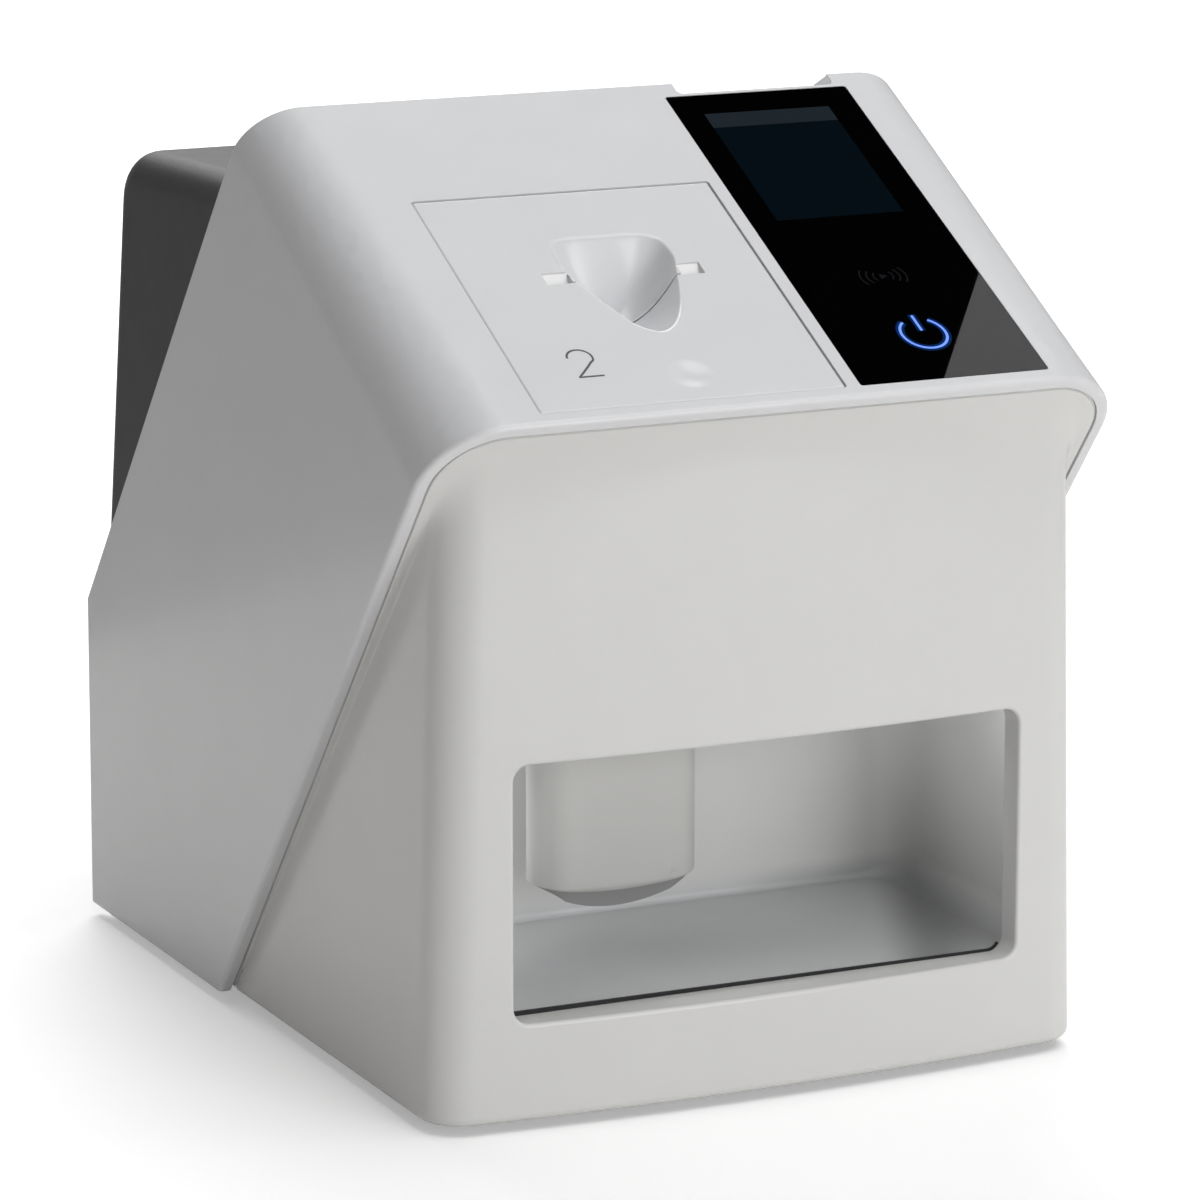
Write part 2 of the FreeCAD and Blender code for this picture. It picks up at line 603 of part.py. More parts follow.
# ---------------------------------------------------------------- output chamber
ch, cw = P("cham_half"), P("cham_wall")
c_out = prism([(-ch - cw, P("cham_front")), (ch + cw, P("cham_front")), (ch + cw, P("cham_back") + cw), (-ch - cw, P("cham_back") + cw)],
              P("cham_top") + cw - P("cham_floor") + cw, "xy", (0, 0, P("cham_floor") - cw), {2: P("cham_round") + cw, 3: P("cham_round") + cw})
c_in = prism([(-ch, P("cham_front") - 20), (ch, P("cham_front") - 20), (ch, P("cham_back")), (-ch, P("cham_back"))],
             P("cham_top") - P("cham_floor"), "xy", (0, 0, P("cham_floor")), {2: P("cham_round"), 3: P("cham_round")})
px, py = P("path_x"), P("path_y")
chamber = cut(c_out, c_in, prism(rect(px - 28.4, px + 28.4, py - 10.6, py + 10.6), 20, "xy", (0, 0, 105), {k: 10.0 for k in range(4)}))
# legs that stand on the base plate
legs = [box(x - 3, x + 3, y - 3, y + 3, 6.0, P("cham_floor") - cw + 0.4) for x, y in ((-80, -100), (80, -100), (-80, -48), (80, -48))]
node("output_chamber", cut(fuse(chamber, *legs), *[cyl(1.55, 12, (x, -48, 4)) for x in (-80, 80)],
                            *[cyl(1.55, 8, (x, y, 111)) for x, y in ((-90, -100), (90, -100), (-90, -50), (90, -50))]))
pad_in = prism([(-ch + 0.3, P("cham_front") - 0.1), (ch - 0.3, P("cham_front") - 0.1), (ch - 0.3, P("cham_back") - 0.3), (-ch + 0.3, P("cham_back") - 0.3)],
               1.6, "xy", (0, 0, P("cham_floor")), {2: 14.7, 3: 14.7})
node("floor_pad", pad_in)


def stadium(a, b, z1, z2):
    a, b = E.of(a), E.of(b)
    return prism(rect(px - a, px + a, py - b, py + b), E.of(z2) - E.of(z1), "xy", (0, 0, z1), {k: b - 0.02 for k in range(4)})


ca, cb, cr = P("chute_a"), P("chute_b"), P("chute_rim")


def chute_body(inset, top_z):
    """Flat-sided tube, round at its ends, its lower end bowed down in the middle."""
    tube = stadium(ca - inset, cb - inset, cr - 20, top_z)
    bow = prism([(px - ca - 2, cr + inset), (px + ca + 2, cr + inset), (px + ca + 2, 160.0), (px - ca - 2, 160.0)], 60, "front", (0, -46, 0),
                arcs={0: P("chute_cap")})
    return common(tube, bow)


chute_out = fuse(chute_body(0.0, 124.0), prism(rect(px - 34, px + 34, py - 14, py + 14), 1.8, "xy", (0, 0, 117.2), {k: 6.0 for k in range(4)}))
chute = cut(cut(chute_out, chute_body(1.8, 140.0)), box(px - 22, px + 22, py - 2.4, py + 7.0, cr - 14, cr - 1.0))
node("outlet_chute", chute)

# ---------------------------------------------------------------- plate insert
slot_u, sh_, sw = P("slot_u"), P("slot_half"), P("slot_w")
g = 0.3
panel = top_prism(rect(ins[0] + g, ins[1] - g, ins[2] + g, ins[3] - g), 2.5, -0.05, {k: 1.0 for k in range(4)})
skirt = cut(top_prism(rect(ins[0] + 4.5, ins[1] - 4.5, ins[2] + 4.5, ins[3] - 4.5), 7.0, -1.0, {k: 3.0 for k in range(4)}),
            top_prism(rect(ins[0] + 6.3, ins[1] - 6.3, ins[2] + 6.3, ins[3] - 6.3), 12.0, 0.0, {k: 2.0 for k in range(4)}))
cx = num(px)
tub = top_prism([(cx - 29.5, 70.0), (cx + 29.5, 70.0), (cx + 29.5, 104.0), (cx + 12, 128.0), (cx - 12, 128.0), (cx - 29.5, 104.0)], 19.5, -1.0, {k: 5.0 for k in range(6)})
rec = [(-18.7, 79.5), (-16.3, 76.3), (-10.4, 75.4), (10.4, 75.4), (16.3, 76.3), (18.7, 79.5), (19.4, 85.6), (18.2, 90.5), (15.8, 98.0), (13.2, 105.0),
       (10.5, 111.3), (7.4, 117.5), (4.0, 121.0), (0.0, 122.9), (-4.0, 121.0), (-7.4, 117.5), (-10.5, 111.3), (-13.2, 105.0), (-15.8, 98.0), (-18.2, 90.5), (-19.4, 85.6)]
outline = top_prism([(px + a, b) for a, b in rec], 40.0, 5.0)
recess_d = P("recess_deep")
dd = num(recess_d)
# funnel seen from the side: a steep rear wall, a gentler one in front of the slot
vee = prism([top_at(0, u, up)[1:] for u, up in ((75.0, 6.0), (75.0, 0.4), (91.0, -dd), (97.0, -dd), (123.2, 0.4), (123.2, 6.0))], 60, "side", (cx - 30, 0, 0))
# and seen along the slope: a deep U
you = prism([(px - 20, 6.0), (px - 19.6, -2.0), (px - 15.0, -9.0), (px - 10.5, -14.5), (px - 4.5, -dd), (px + 4.5, -dd), (px + 10.5, -14.5), (px + 15.0, -9.0), (px + 19.6, -2.0), (px + 20, 6.0)],
            70, FreeCAD.Rotation(V(1, 0, 0), 90 + num(P("top_deg"))), (0,) + top_at(0, 65, 0)[1:])
recess = common(outline, vee, you)
slot = top_prism(rect(px - sh_, px + sh_, slot_u - sw / 2, slot_u + sw / 2), 60.0, 5.0, {k: 0.8 for k in range(4)})
dimx, dimy, dimz = top_at(-26.0, 144.0, 0.7)
insert = cut(fuse(panel, skirt, tub), recess, slot, ball(7.5, 6.5, 1.5, (dimx, dimy, dimz), FR["top"]))
node("plate_insert", insert)

# cradle that carries the insert under the hood
cradle = cut(top_prism(rect(ins[0] + 1.0, ins[1] + 1.0, ins[2] - 1.0, ins[3] - 2.0), 5.0, -4.1, {k: 3.0 for k in range(4)}),
             top_prism(rect(ins[0] + 4.1, ins[1] - 4.1, ins[2] + 4.1, ins[3] - 4.1), 20.0, 0.0, {k: 3.0 for k in range(4)}),
             top_prism(rect(ins[1] - 0.5, ins[1] + 6, ins[2] - 5, ins[3] + 5), 20.0, 0.0))
node("insert_cradle", cradle)

# ---------------------------------------------------------------- display
glass = top_prism(rect(gl[0] + 0.25, gl[1] - 0.25, gl[2] + 0.25, gl[3] - 0.25), 2.0, -0.06, {k: 0.9 for k in range(4)})
node("display_glass", glass)
node("lcd_module", top_prism(rect(30.6, 81.2, 12.5, 80.0), 3.2, -5.0, {k: 1.0 for k in range(4)}))
frame_d = cut(top_prism(rect(22.0, 90.2, 8.6, 156.0), 2.6, -4.1, {k: 3.0 for k in range(4)}),
              top_prism(rect(30.3, 81.5, 12.2, 80.3), 20, 0.0), top_prism(rect(30.3, 81.5, 86, 150), 20, 0.0))
frame_d = fuse(frame_d, cut(top_prism(rect(28.6, 83.2, 10.8, 152.0), 7.4, -6.6, {k: 2.0 for k in range(4)}), top_prism(rect(30.3, 81.5, 12.2, 150.2), 30, 0.0)))
node("display_frame", frame_d)
node("display_board", fuse(top_prism(rect(31.0, 80.8, 13.0, 149.5), 1.6, -12.0), top_prism(rect(44, 60, 84, 100), 1.4, -13.5), top_prism(rect(36, 52, 30, 34), 3.0, -13.5), top_prism(rect(62, 74, 110, 118), 2.0, -13.5)))
rx, ru = 55.9, 105.4
rfid = cut(top_prism(rect(rx - 19, rx + 19, ru - 14, ru + 12), 0.8, -9.6, {k: 4.0 for k in range(4)}), top_prism(rect(rx - 12, rx + 12, ru - 8, ru + 6), 10, -5.0, {k: 2.0 for k in range(4)}))
node("rfid_antenna", rfid)
pwx, pwu = 56.0, 133.8


def top_cyl(r, h, x, u, up):
    X, Y, Z = top_at(x, u, up)
    return cyl(r, h, (X, Y, Z), FR["top"])


guide = cut(top_cyl(8.2, 5.0, pwx, pwu, -7.2), top_cyl(6.4, 9.0, pwx, pwu, -8.2))
guide = fuse(guide, top_prism(rect(pwx - 0.9, pwx + 0.9, pwu - 9.5, pwu - 1.0), 5.0, -2.2), top_cyl(9.4, 1.4, pwx, pwu, -7.2))
node("power_light_guide", guide)

# ---------------------------------------------------------------- chassis
dz = P("deck_z")
deck = prism([(-99, -112), (99, -112), (99, 110), (-99, 110)], 2.0, "xy", (0, 0, dz), {k: 4.0 for k in range(4)})
cheeks = []
for sgn in (-1, 1):
    xa, xb = sorted((sgn * 99.0, sgn * 97.0))
    cheeks.append(box(xa, xb, -26, 110, 6.0, dz + 2.0))
    xa, xb = sorted((sgn * 99.0, sgn * 85.0))
    cheeks.append(box(xa, xb, -26, 110, 6.0, 8.0))
chassis = fuse(deck, *cheeks)
chassis = cut(chassis, prism(rect(px - 34.6, px + 34.6, py - 14.6, py + 14.6), 12, "xy", (0, 0, 114), {k: 6.0 for k in range(4)}),
              prism(rect(-60, 60, 30, 90), 12, "xy", (0, 0, 114), {k: 8.0 for k in range(4)}),
              *[cyl(1.8, 30, (x, y, 100)) for x, y in ((-90, -100), (90, -100), (-90, -50), (90, -50))],
              *[cyl(1.55, 8, (x, y, 4)) for x, y in ((-92, 60), (92, 60))])
node("chassis", chassis)

fr_l, fr_r = -63.0, 12.0     # inner faces of the two side frames
holes = [(P("roll_y"), P("roll_z1"), 4.0), (P("roll_y"), P("roll_z2"), 4.0), (-68.0, 216.0, 1.27)]


def side_frame(x0):
    b = prism([(-104, 121.0), (-6, 121.0), (-6, 178.0), (-40, 220.0), (-98, 220.0), (-104, 212.0)], 2.5, "side", (x0, 0, 0), {2: 8.0, 3: 8.0, 4: 3.0, 5: 3.0})
    flange = box(x0 - 10 if x0 < -20 else x0, x0 + 2.5 if x0 < -20 else x0 + 12.5, -60, -12, 121.0, 123.0)
    win = prism(rect(-66, -18, 134, 190), 6, "side", (x0 - 1, 0, 0), {k: 8.0 for k in range(4)})
    return cut(fuse(b, flange), win, *[cyl(r, 8, (x0 - 2, y, z), "x") for y, z, r in holes])


node("left_side_frame", side_frame(fr_l - 2.5))
node("right_side_frame", side_frame(fr_r))
bush = []
for z in (P("roll_z1"), P("roll_z2")):
    for x in (fr_l - 2.5, fr_r):
        b = fuse(cyl(3.95, 2.5, (x, P("roll_y"), z), "x"), cyl(5.2, 1.0, (x + 2.5 if x < 0 else x - 1.0, P("roll_y"), z), "x"))
        bush.append(cut(b, cyl(P("shaft_r") + 0.05, 9, (x - 3, P("roll_y"), z), "x")))
node("roller_bushes", group(*bush))

# ---------------------------------------------------------------- transport
belt_x = [num(px) - 11.5, num(px) + 11.5]


def roller(z, x1, x2):
    parts = [cyl(P("shaft_r"), x2 - x1, (x1, P("roll_y"), z), "x")]
    parts.append(cyl(4.2, 40, (num(px) - 20, P("roll_y"), z), "x"))
    for bx_ in belt_x:
        parts.append(cyl(P("roll_r"), 8, (bx_ - 4, P("roll_y"), z), "x"))
        parts.append(cyl(P("roll_r") + 1.2, 1.0, (bx_ - 5, P("roll_y"), z), "x"))
        parts.append(cyl(P("roll_r") + 1.2, 1.0, (bx_ + 4, P("roll_y"), z), "x"))
    return fuse(*parts)


node("idler_roller", roller(P("roll_z2"), fr_l - 4.5, fr_r + 4.5))
node("drive_roller", roller(P("roll_z1"), fr_l - 4.5, fr_r + 13.0))


def loop(c1, r1, c2, r2, t, x0, w):
    """A belt round two circles in the YZ plane, its inner side at r1 and r2."""
    def hull(e):
        a1, a2 = r1 + e, r2 + e
        d = V(c2[0] - c1[0], c2[1] - c1[1], 0)
        D = d.Length
        base = math.atan2(d.y, d.x)
        off = math.acos((a1 - a2) / D)
        q = []
        for s in (1, -1):
            an = base + s * off
            q.append((V(x0, c1[0] + a1 * math.cos(an), c1[1] + a1 * math.sin(an)), V(x0, c2[0] + a2 * math.cos(an), c2[1] + a2 * math.sin(an))))
        m1 = V(x0, c1[0] - a1 * math.cos(base), c1[1] - a1 * math.sin(base))
        m2 = V(x0, c2[0] + a2 * math.cos(base), c2[1] + a2 * math.sin(base))
        edges = [Part.LineSegment(q[0][0], q[0][1]).toShape(), Part.Arc(q[0][1], m2, q[1][1]).toShape(),
                 Part.LineSegment(q[1][1], q[1][0]).toShape(), Part.Arc(q[1][0], m1, q[0][0]).toShape()]
        return Part.Face(Part.Wire(Part.__sortEdges__(edges)))
    return hull(t).extrude(V(w, 0, 0)).cut(hull(0).extrude(V(w, 0, 0)))


c_lo = (num(P("roll_y")), num(P("roll_z1")))
c_hi = (num(P("roll_y")), num(P("roll_z2")))
node("transport_belts", group(*[raw(loop(c_lo, num(P("roll_r")) + 0.3, c_hi, num(P("roll_r")) + 0.3, 1.0, x - 3.6, 7.2)) for x in belt_x]))

mo = (num(P("motor_y")), num(P("motor_z")))
node("drive_belt", raw(loop(c_lo, num(P("pul_r2")) + 0.3, mo, num(P("pul_r1")) + 0.3, 1.2, 18.6, 4.8)))


def pulley(r, c, x, bore):
    p = fuse(cyl(r, 5.4, (x + 0.8, c[0], c[1]), "x"), cyl(r + 2.2, 0.8, (x, c[0], c[1]), "x"), cyl(r + 2.2, 0.8, (x + 6.2, c[0], c[1]), "x"))
    return cut(p, cyl(bore, 10, (x - 1, c[0], c[1]), "x"))


node("roller_pulley", pulley(P("pul_r2"), (P("roll_y"), P("roll_z1")), 17.5, P("shaft_r") + 0.02))
node("motor_pulley", pulley(P("pul_r1"), (P("motor_y"), P("motor_z")), 17.5, 1.52))
mz, my = P("motor_z"), P("motor_y")
motor = fuse(prism(rect(my - 14, my + 14, mz - 14, mz + 14), 30, "side", (30.5, 0, 0), {k: 3.5 for k in range(4)}), cyl(11, 1.6, (28.9, my, mz), "x"))
motor = cut(motor, cyl(1.6, 40, (25, my, mz), "x"))
node("stepper_motor", motor)
node("motor_shaft", cyl(1.5, 40.0, (16.5, my, mz), "x"))
brk = cut(fuse(box(28.4, 30.4, my - 17, my + 17, 121.0, mz + 17), box(28.4, 50, my - 17, my + 17, 121.0, 123.0)), cyl(11.2, 6, (26, my, mz), "x"))
node("motor_bracket", brk)

# inlet guide between insert and rollers, with the sprung light flap under it
y_s = num(py)
inlet = prism([(y_s - 12, 220.5), (y_s + 9, 220.5), (y_s + 9, 231.5), (y_s + 3, 229.0), (y_s - 5, 225.0), (y_s - 12, 221.7)], 64.0, "side", (num(px) - 32, 0, 0))
inlet = cut(inlet, box(px - 29.5, px + 29.5, y_s - 4.0, y_s + 1.5, 210, 240))
cross = [box(fr_l - 2.5, num(px) - 32 + 0.5, -88, -70, 220.0, 223.5), box(num(px) + 32 - 0.5, fr_r + 2.5, -88, -70, 220.0, 223.5)]
inlet = fuse(inlet, *cross)
node("inlet_guide", inlet)
fl = fuse(cyl(1.2, fr_r - fr_l + 4.6, (fr_l - 2.3, -68.0, 216.0), "x"), cut(cyl(2.2, 58, (num(px) - 29, -68.0, 216.0), "x"), cyl(0.4, 70, (num(px) - 35, -66.4, 217.6), "x")),
          prism([(-68.4, 214.6), (-67.9, 215.9), (-79.2, 213.4), (-79.0, 212.6)], 56, "side", (num(px) - 28, 0, 0)))
node("inlet_flap", fl)

# ---------------------------------------------------------------- scan unit
dy_, sz_ = P("drum_y"), P("slit_z")


def drum(z1, z2):
    b = cut(cyl(P("drum_r"), z2 - z1, (px, dy_, z1)), cyl(P("drum_r") - 2.5, 200, (px, dy_, 50)))
    return b


lower = fuse(drum(124.6, sz_ - 1.2), cut(fuse(cyl(P("drum_r") + 3.5, 2.0, (px, dy_, 121.0)), cyl(P("drum_r"), 5.0, (px, dy_, 121.0))),
                                         cyl(P("drum_r") - 2.5, 20, (px, dy_, 115)), box(px - 60, px + 60, -100, dy_ - 13, 110, 130)))
lower = cut(lower, cyl(15, 8, (num(px), num(dy_) + 22, 150), "y"))
node("lower_drum", lower)
upper = fuse(drum(sz_ + 1.2, 204.0), cut(cyl(P("drum_r") - 1.0, 2.0, (px, dy_, 202.0)), cyl(8.0, 20, (px, dy_, 195))))
node("upper_drum", upper)
arm = fuse(box(fr_l, num(px) - 25.0, -42, -30, 198, 202), box(num(px) + 25.0, fr_r, -42, -30, 198, 202))
arm = cut(arm, cyl(P("drum_r") + 0.05, 200, (px, dy_, 50)))
node("drum_arms", arm)
sm = fuse(cyl(12, 14, (px, dy_, 139.0)), cyl(16, 2.0, (px, dy_, 137.0)), cyl(6, 2.0, (px, dy_, 153.0)))
sm = cut(sm, cyl(1.55, 40, (px, dy_, 130)))
node("spindle_motor", sm)
sb = cut(fuse(box(num(px) - 24.45, num(px) + 24.45, num(dy_) - 8, num(dy_) + 8, 134.0, 137.0), cyl(16.5, 3.0, (px, dy_, 134.0))), cyl(4, 9, (px, dy_, 130)))
sb = common(sb, cyl(P("drum_r") - 2.55, 20, (px, dy_, 130)))
node("spindle_bracket", sb)
rotor = fuse(cyl(1.5, 19.0, (px, dy_, 138.0)), cyl(10.0, 2.0, (px, dy_, 156.0)), cut(cyl(10.0, 14.0, (px, dy_, 158.0)), box(px - 5.6, px + 5.6, dy_ - 12, dy_ + 5.6, 158.0, 175)))
rotor = cut(rotor, cyl(3.2, 30, (px, dy_, 166)))
node("prism_holder", rotor)
prism_g = prism([(num(px) - 5.5, num(dy_) - 5.5), (num(px) + 5.5, num(dy_) - 5.5), (num(px) + 5.5, num(dy_) + 3.0), (num(px) + 2.5, num(dy_) + 5.5), (num(px) - 5.5, num(dy_) + 5.5)], 13.0, "xy", (0, 0, 158.05))
node("pentaprism", prism_g)
laser = fuse(cyl(6.0, 24.0, (px, dy_, 182.0)), cyl(7.9, 3.0, (px, dy_, 204.05)), cyl(3.0, 3.0, (px, dy_, 207.0)))
laser = cut(laser, cyl(2.2, 6, (px, dy_, 180.0)))
node("laser_module", laser)
lb = cut(prism(rect(num(px) - 14, num(px) + 14, num(dy_) - 14, num(dy_) + 14), 1.6, "xy", (0, 0, 204.05), {k: 5.0 for k in range(4)}), cyl(7.95, 9, (px, dy_, 200)))
node("laser_clamp", lb)
pmt_c = (num(px), 170.0)
pm = fuse(cyl(14.0, 62.0, (pmt_c[0], -17.0, pmt_c[1]), "y"), cyl(14.8, 6.0, (pmt_c[0], 39.0, pmt_c[1]), "y"))
node("photomultiplier", pm)
hs = cut(prism(rect(pmt_c[0] - 18, pmt_c[0] + 18, pmt_c[1] - 18, pmt_c[1] + 18), 66.0, "front", (0, 50.0, 0), {k: 6.0 for k in range(4)}),
         cyl(14.9, 80, (pmt_c[0], -20, pmt_c[1]), "y"))
hs = fuse(hs, *[cyl(4.0, 31.2, (pmt_c[0] + dx, yy, 121.0)) for dx in (-12, 12) for yy in (-6, 20)], box(pmt_c[0] - 17, pmt_c[0] + 17, 48.0, 50.0, 154, 186))
node("pmt_housing", hs)
rf = cut(cone(23.0, 15.5, 3.6, (pmt_c[0], -20.7, pmt_c[1]), "y"), cone(21.6, 14.1, 3.6, (pmt_c[0], -20.7, pmt_c[1]), "y"))
node("light_collector", rf)
led = fuse(box(px - 22, px + 22, -99.5, -98.0, 146, 160), *[box(px - 20 + i * 5.6, px - 17 + i * 5.6, -98.0, -96.6, 151, 155) for i in range(8)])
led = fuse(led, box(px - 30, px + 30, -100.9, -99.5, 144, 162), box(fr_l, px - 28, -100.9, -99.4, 150, 156), box(px + 28, fr_r, -100.9, -99.4, 150, 156))
node("erase_led_bar", led)
bar = [box(px + 31.0, px + 37.5, py - 2.8, py + 5, 123.0, 131.0), box(px - 37.5, px - 31.0, py - 2.8, py + 5, 123.0, 131.0),
       box(px + 31.0, px + 37.5, py - 2.8, py + 5, 190.0, 197.0), box(px - 37.5, px - 31.0, py - 2.8, py + 5, 190.0, 197.0)]
node("light_barriers", group(*bar))

# ---------------------------------------------------------------- electronics
pc = P("pcb_y")
pcb = prism([(-84, 18), (84, 18), (84, 150), (-84, 150)], 1.6, "front", (0, pc + 1.6, 0), {k: 3.0 for k in range(4)})
pcb = cut(pcb, *[cyl(1.6, 9, (x, num(pc) - 3, z), "y") for x in (-78, 78) for z in (24, 144)])
node("main_board", pcb)
chips = [box(-50, -24, pc - 2.2, pc, 70, 96), box(-10, 8, pc - 1.6, pc, 80, 92), box(20, 34, pc - 1.6, pc, 60, 74), box(-66, -58, pc - 6, pc, 110, 118),
         box(40, 70, pc - 3.0, pc, 120, 126), box(-20, 14, pc - 5.0, pc, 140, 146)]
chips += [cyl(4.0, 11.0, (x, num(pc) - 11.0, z), "y") for x, z in ((30, 100), (42, 100), (-70, 60), (-70, 76))]
chips.append(fuse(box(P("btn_x") - 3, P("btn_x") + 3, pc + 1.6, pc + 2.6, P("btn_z") - 3, P("btn_z") + 3), cyl(1.6, 0.6, (P("btn_x"), pc + 2.6, P("btn_z")), "y")))
node("board_components", group(*chips))
so = [cut(cyl(3.4, num(pc) - 112.0, (x, 112.0, z), "y"), cyl(1.4, 9, (x, num(pc) - 7, z), "y")) for x in (-78, 78) for z in (24, 144)]
node("board_standoffs", group(*so))
bs = [fuse(cyl(1.35, 7.0, (x, num(pc) - 5.0, z), "y"), cyl(2.8, 1.8, (x, num(pc) + 1.65, z), "y")) for x in (-78, 78) for z in (24, 144)]
node("board_screws", group(*bs))
back_wall = box(-97, 97, 110.4, 112.0, 8.0, 152.0)
back_wall = cut(fuse(back_wall, box(-97, 97, 100, 112.0, 117.0, 119.0)), prism(rect(-70, 70, 34, 108), 20, "front", (0, 120, 0), {k: 8.0 for k in range(4)}),
                prism(rect(-60, 60, 124, 142), 20, "front", (0, 120, 0), {k: 4.0 for k in range(4)}))
node("board_carrier", back_wall)
pb = num(pc) + 1.6


def socket(x, w, z, h, ix, iz, ih, depth):
    b = box(x - w / 2 + 0.25, x + w / 2 - 0.25, pb, 145.9, z + 0.25, z + h - 0.25)
    return cut(b, box(x - ix / 2, x + ix / 2, 145.9 - depth, 150, iz, iz + ih))


node("lan_socket", socket(-10.0, 16.4, 22.0, 13.9, 11.8, 24.6, 8.2, 13.0))
usb = socket(18.0, 12.6, 22.0, 11.4, 8.6, 23.6, 7.8, 9.0)
usb = fuse(usb, box(18.0 - 2.9, 18.0 + 2.9, 136.5, 145.0, 26.2, 29.0))
node("usb_socket", usb)
dcj = cut(box(44.0 - 5.45, 44.0 + 5.45, pb, 145.9, 22.25, 33.15), cyl(3.9, 12.0, (44.0, 136.0, 27.7), "y"))
dcj = fuse(dcj, cyl(1.0, 9.6, (44.0, 135.5, 27.7), "y"))
node("dc_jack", dcj)
bxx, bzz = P("btn_x"), P("btn_z")
btn = fuse(cyl(P("btn_r"), 14.9, (bxx, 131.0, bzz), "y"), cyl(4.2, 1.6, (bxx, 141.0, bzz), "y"))
node("reset_button", btn)
fx, fz = P("fan_x"), P("fan_z")
ff = cut(prism(rect(fx - 20, fx + 20, fz - 20, fz + 20), 9.8, "front", (0, 143.4, 0), {k: 3.0 for k in range(4)}), cyl(18.8, 30, (fx, 120, fz), "y"))
arms_f = []
for k in range(3):
    b = doc.addObject("Part::Box", uid("Strut"))
    b.Length, b.Width, b.Height = 2.4, 1.6, 12.5
    rot = FreeCAD.Rotation(V(0, 1, 0), 30 + 120 * k)
    off = rot.multVec(V(-1.2, 0, 7.5))
    b.Placement = FreeCAD.Placement(V(num(fx) + off.x, 133.6, num(fz) + off.z), rot)
    arms_f.append(b)
fan_frame = fuse(ff, fuse(cyl(9.0, 1.6, (fx, 133.6, fz), "y"), *arms_f))
fan_frame = cut(fan_frame, *[cyl(1.7, 30, (num(fx) + dx, 125, num(fz) + dz_), "y") for dx in (-16.5, 16.5) for dz_ in (-16.5, 16.5)])
node("fan_frame", fan_frame)
blades = [cut(cyl(9.5, 7.0, (fx, 135.8, fz), "y"), cyl(1.0, 3, (fx, 135.0, fz), "y"))]
for k in range(7):
    b = doc.addObject("Part::Box", uid("Blade"))
    b.Length, b.Width, b.Height = 1.2, 7.6, 9.3
    b.Placement = FreeCAD.Placement(V(-0.6, -3.8, 8.8), FreeCAD.Rotation(V(0, 0, 1), 38))
    m = FreeCAD.Placement(V(num(fx), 139.3, num(fz)), FreeCAD.Rotation(V(0, 1, 0), 360.0 / 7 * k))
    b.Placement = m.multiply(FreeCAD.Placement(FreeCAD.Rotation(V(0, 0, 1), 38).multVec(V(-0.6, -3.8, 0)) + V(0, 0, 8.8), FreeCAD.Rotation(V(0, 0, 1), 38)))
    blades.append(b)
fan_rotor = common(fuse(*blades), cyl(18.2, 7.0, (fx, 135.8, fz), "y"))
node("fan_rotor", fan_rotor)
fs = [fuse(cyl(1.5, 10.8, (num(fx) + dx, 132.5, num(fz) + dz_), "y"), cyl(2.8, 1.8, (num(fx) + dx, 131.75, num(fz) + dz_), "y")) for dx in (-16.5, 16.5) for dz_ in (-16.5, 16.5)]
node("fan_screws", group(*fs))

# flat ribbon from the display board to the main board
x, ya, za = top_at(0, 60, -13.98)
rb = [(ya, za), (ya + 10, za - 6), (60, 246), (114, 206), (116.2, 200), (116.2, 143.5)]


def strip(pts, t):
    up, dn = [], []
    for i, p in enumerate(pts):
        a = pts[max(i - 1, 0)]
        b = pts[min(i + 1, len(pts) - 1)]
        d = math.hypot(b[0] - a[0], b[1] - a[1])
        nx, ny = -(b[1] - a[1]) / d * t / 2, (b[0] - a[0]) / d * t / 2
        up.append((p[0] + nx, p[1] + ny))
        dn.append((p[0] - nx, p[1] - ny))
    return up + dn[::-1]


pts_r = strip(rb, 0.6)
area = sum(pts_r[i][0] * pts_r[(i + 1) % len(pts_r)][1] - pts_r[(i + 1) % len(pts_r)][0] * pts_r[i][1] for i in range(len(pts_r)))
if area < 0:
    pts_r = pts_r[::-1]
ribbon = prism(pts_r, 18, "side", (36.0, 0, 0))
node("display_ribbon", fuse(ribbon, box(36, 54, 115.2, 125.9, 143.0, 146.4)))
# deck screws that hold the chamber
node("deck_screws", group(*[fuse(cyl(3.0, 2.0, (x, y, 121.0)), cyl(1.5, 5.6, (x, y, 115.6))) for x, y in ((-90, -100), (90, -100), (-90, -50), (90, -50))]))

# ---------------------------------------------------------------- check and write
doc.recompute()
bad = []
for o in doc.Objects:
    if any(s in ("Invalid", "Error") for s in o.State):
        bad.append("%s %s %s" % (o.Name, o.Label, o.State))
total = None
for name, o in NODES.items():
    s = o.Shape
    if s.isNull() or not s.isValid() or not s.Solids:
        bad.append("%s: bad shape" % name)
        continue
    total = s.BoundBox if total is None else total.united(s.BoundBox)
if bad:
    raise RuntimeError("not written: " + "; ".join(bad))
for old in os.listdir("parts"):
    if old.endswith(".step"):
        os.remove(os.path.join("parts", old))
for name, o in NODES.items():
    s = o.Shape
    s.exportStep("parts/%s.step" % name)
    print("%-20s solids %2d volume %10.1f  x %.1f %.1f y %.1f %.1f z %.1f %.1f" % (name, len(s.Solids), s.Volume, s.BoundBox.XMin, s.BoundBox.XMax, s.BoundBox.YMin, s.BoundBox.YMax, s.BoundBox.ZMin, s.BoundBox.ZMax))
print("nodes", len(NODES), "box", total)
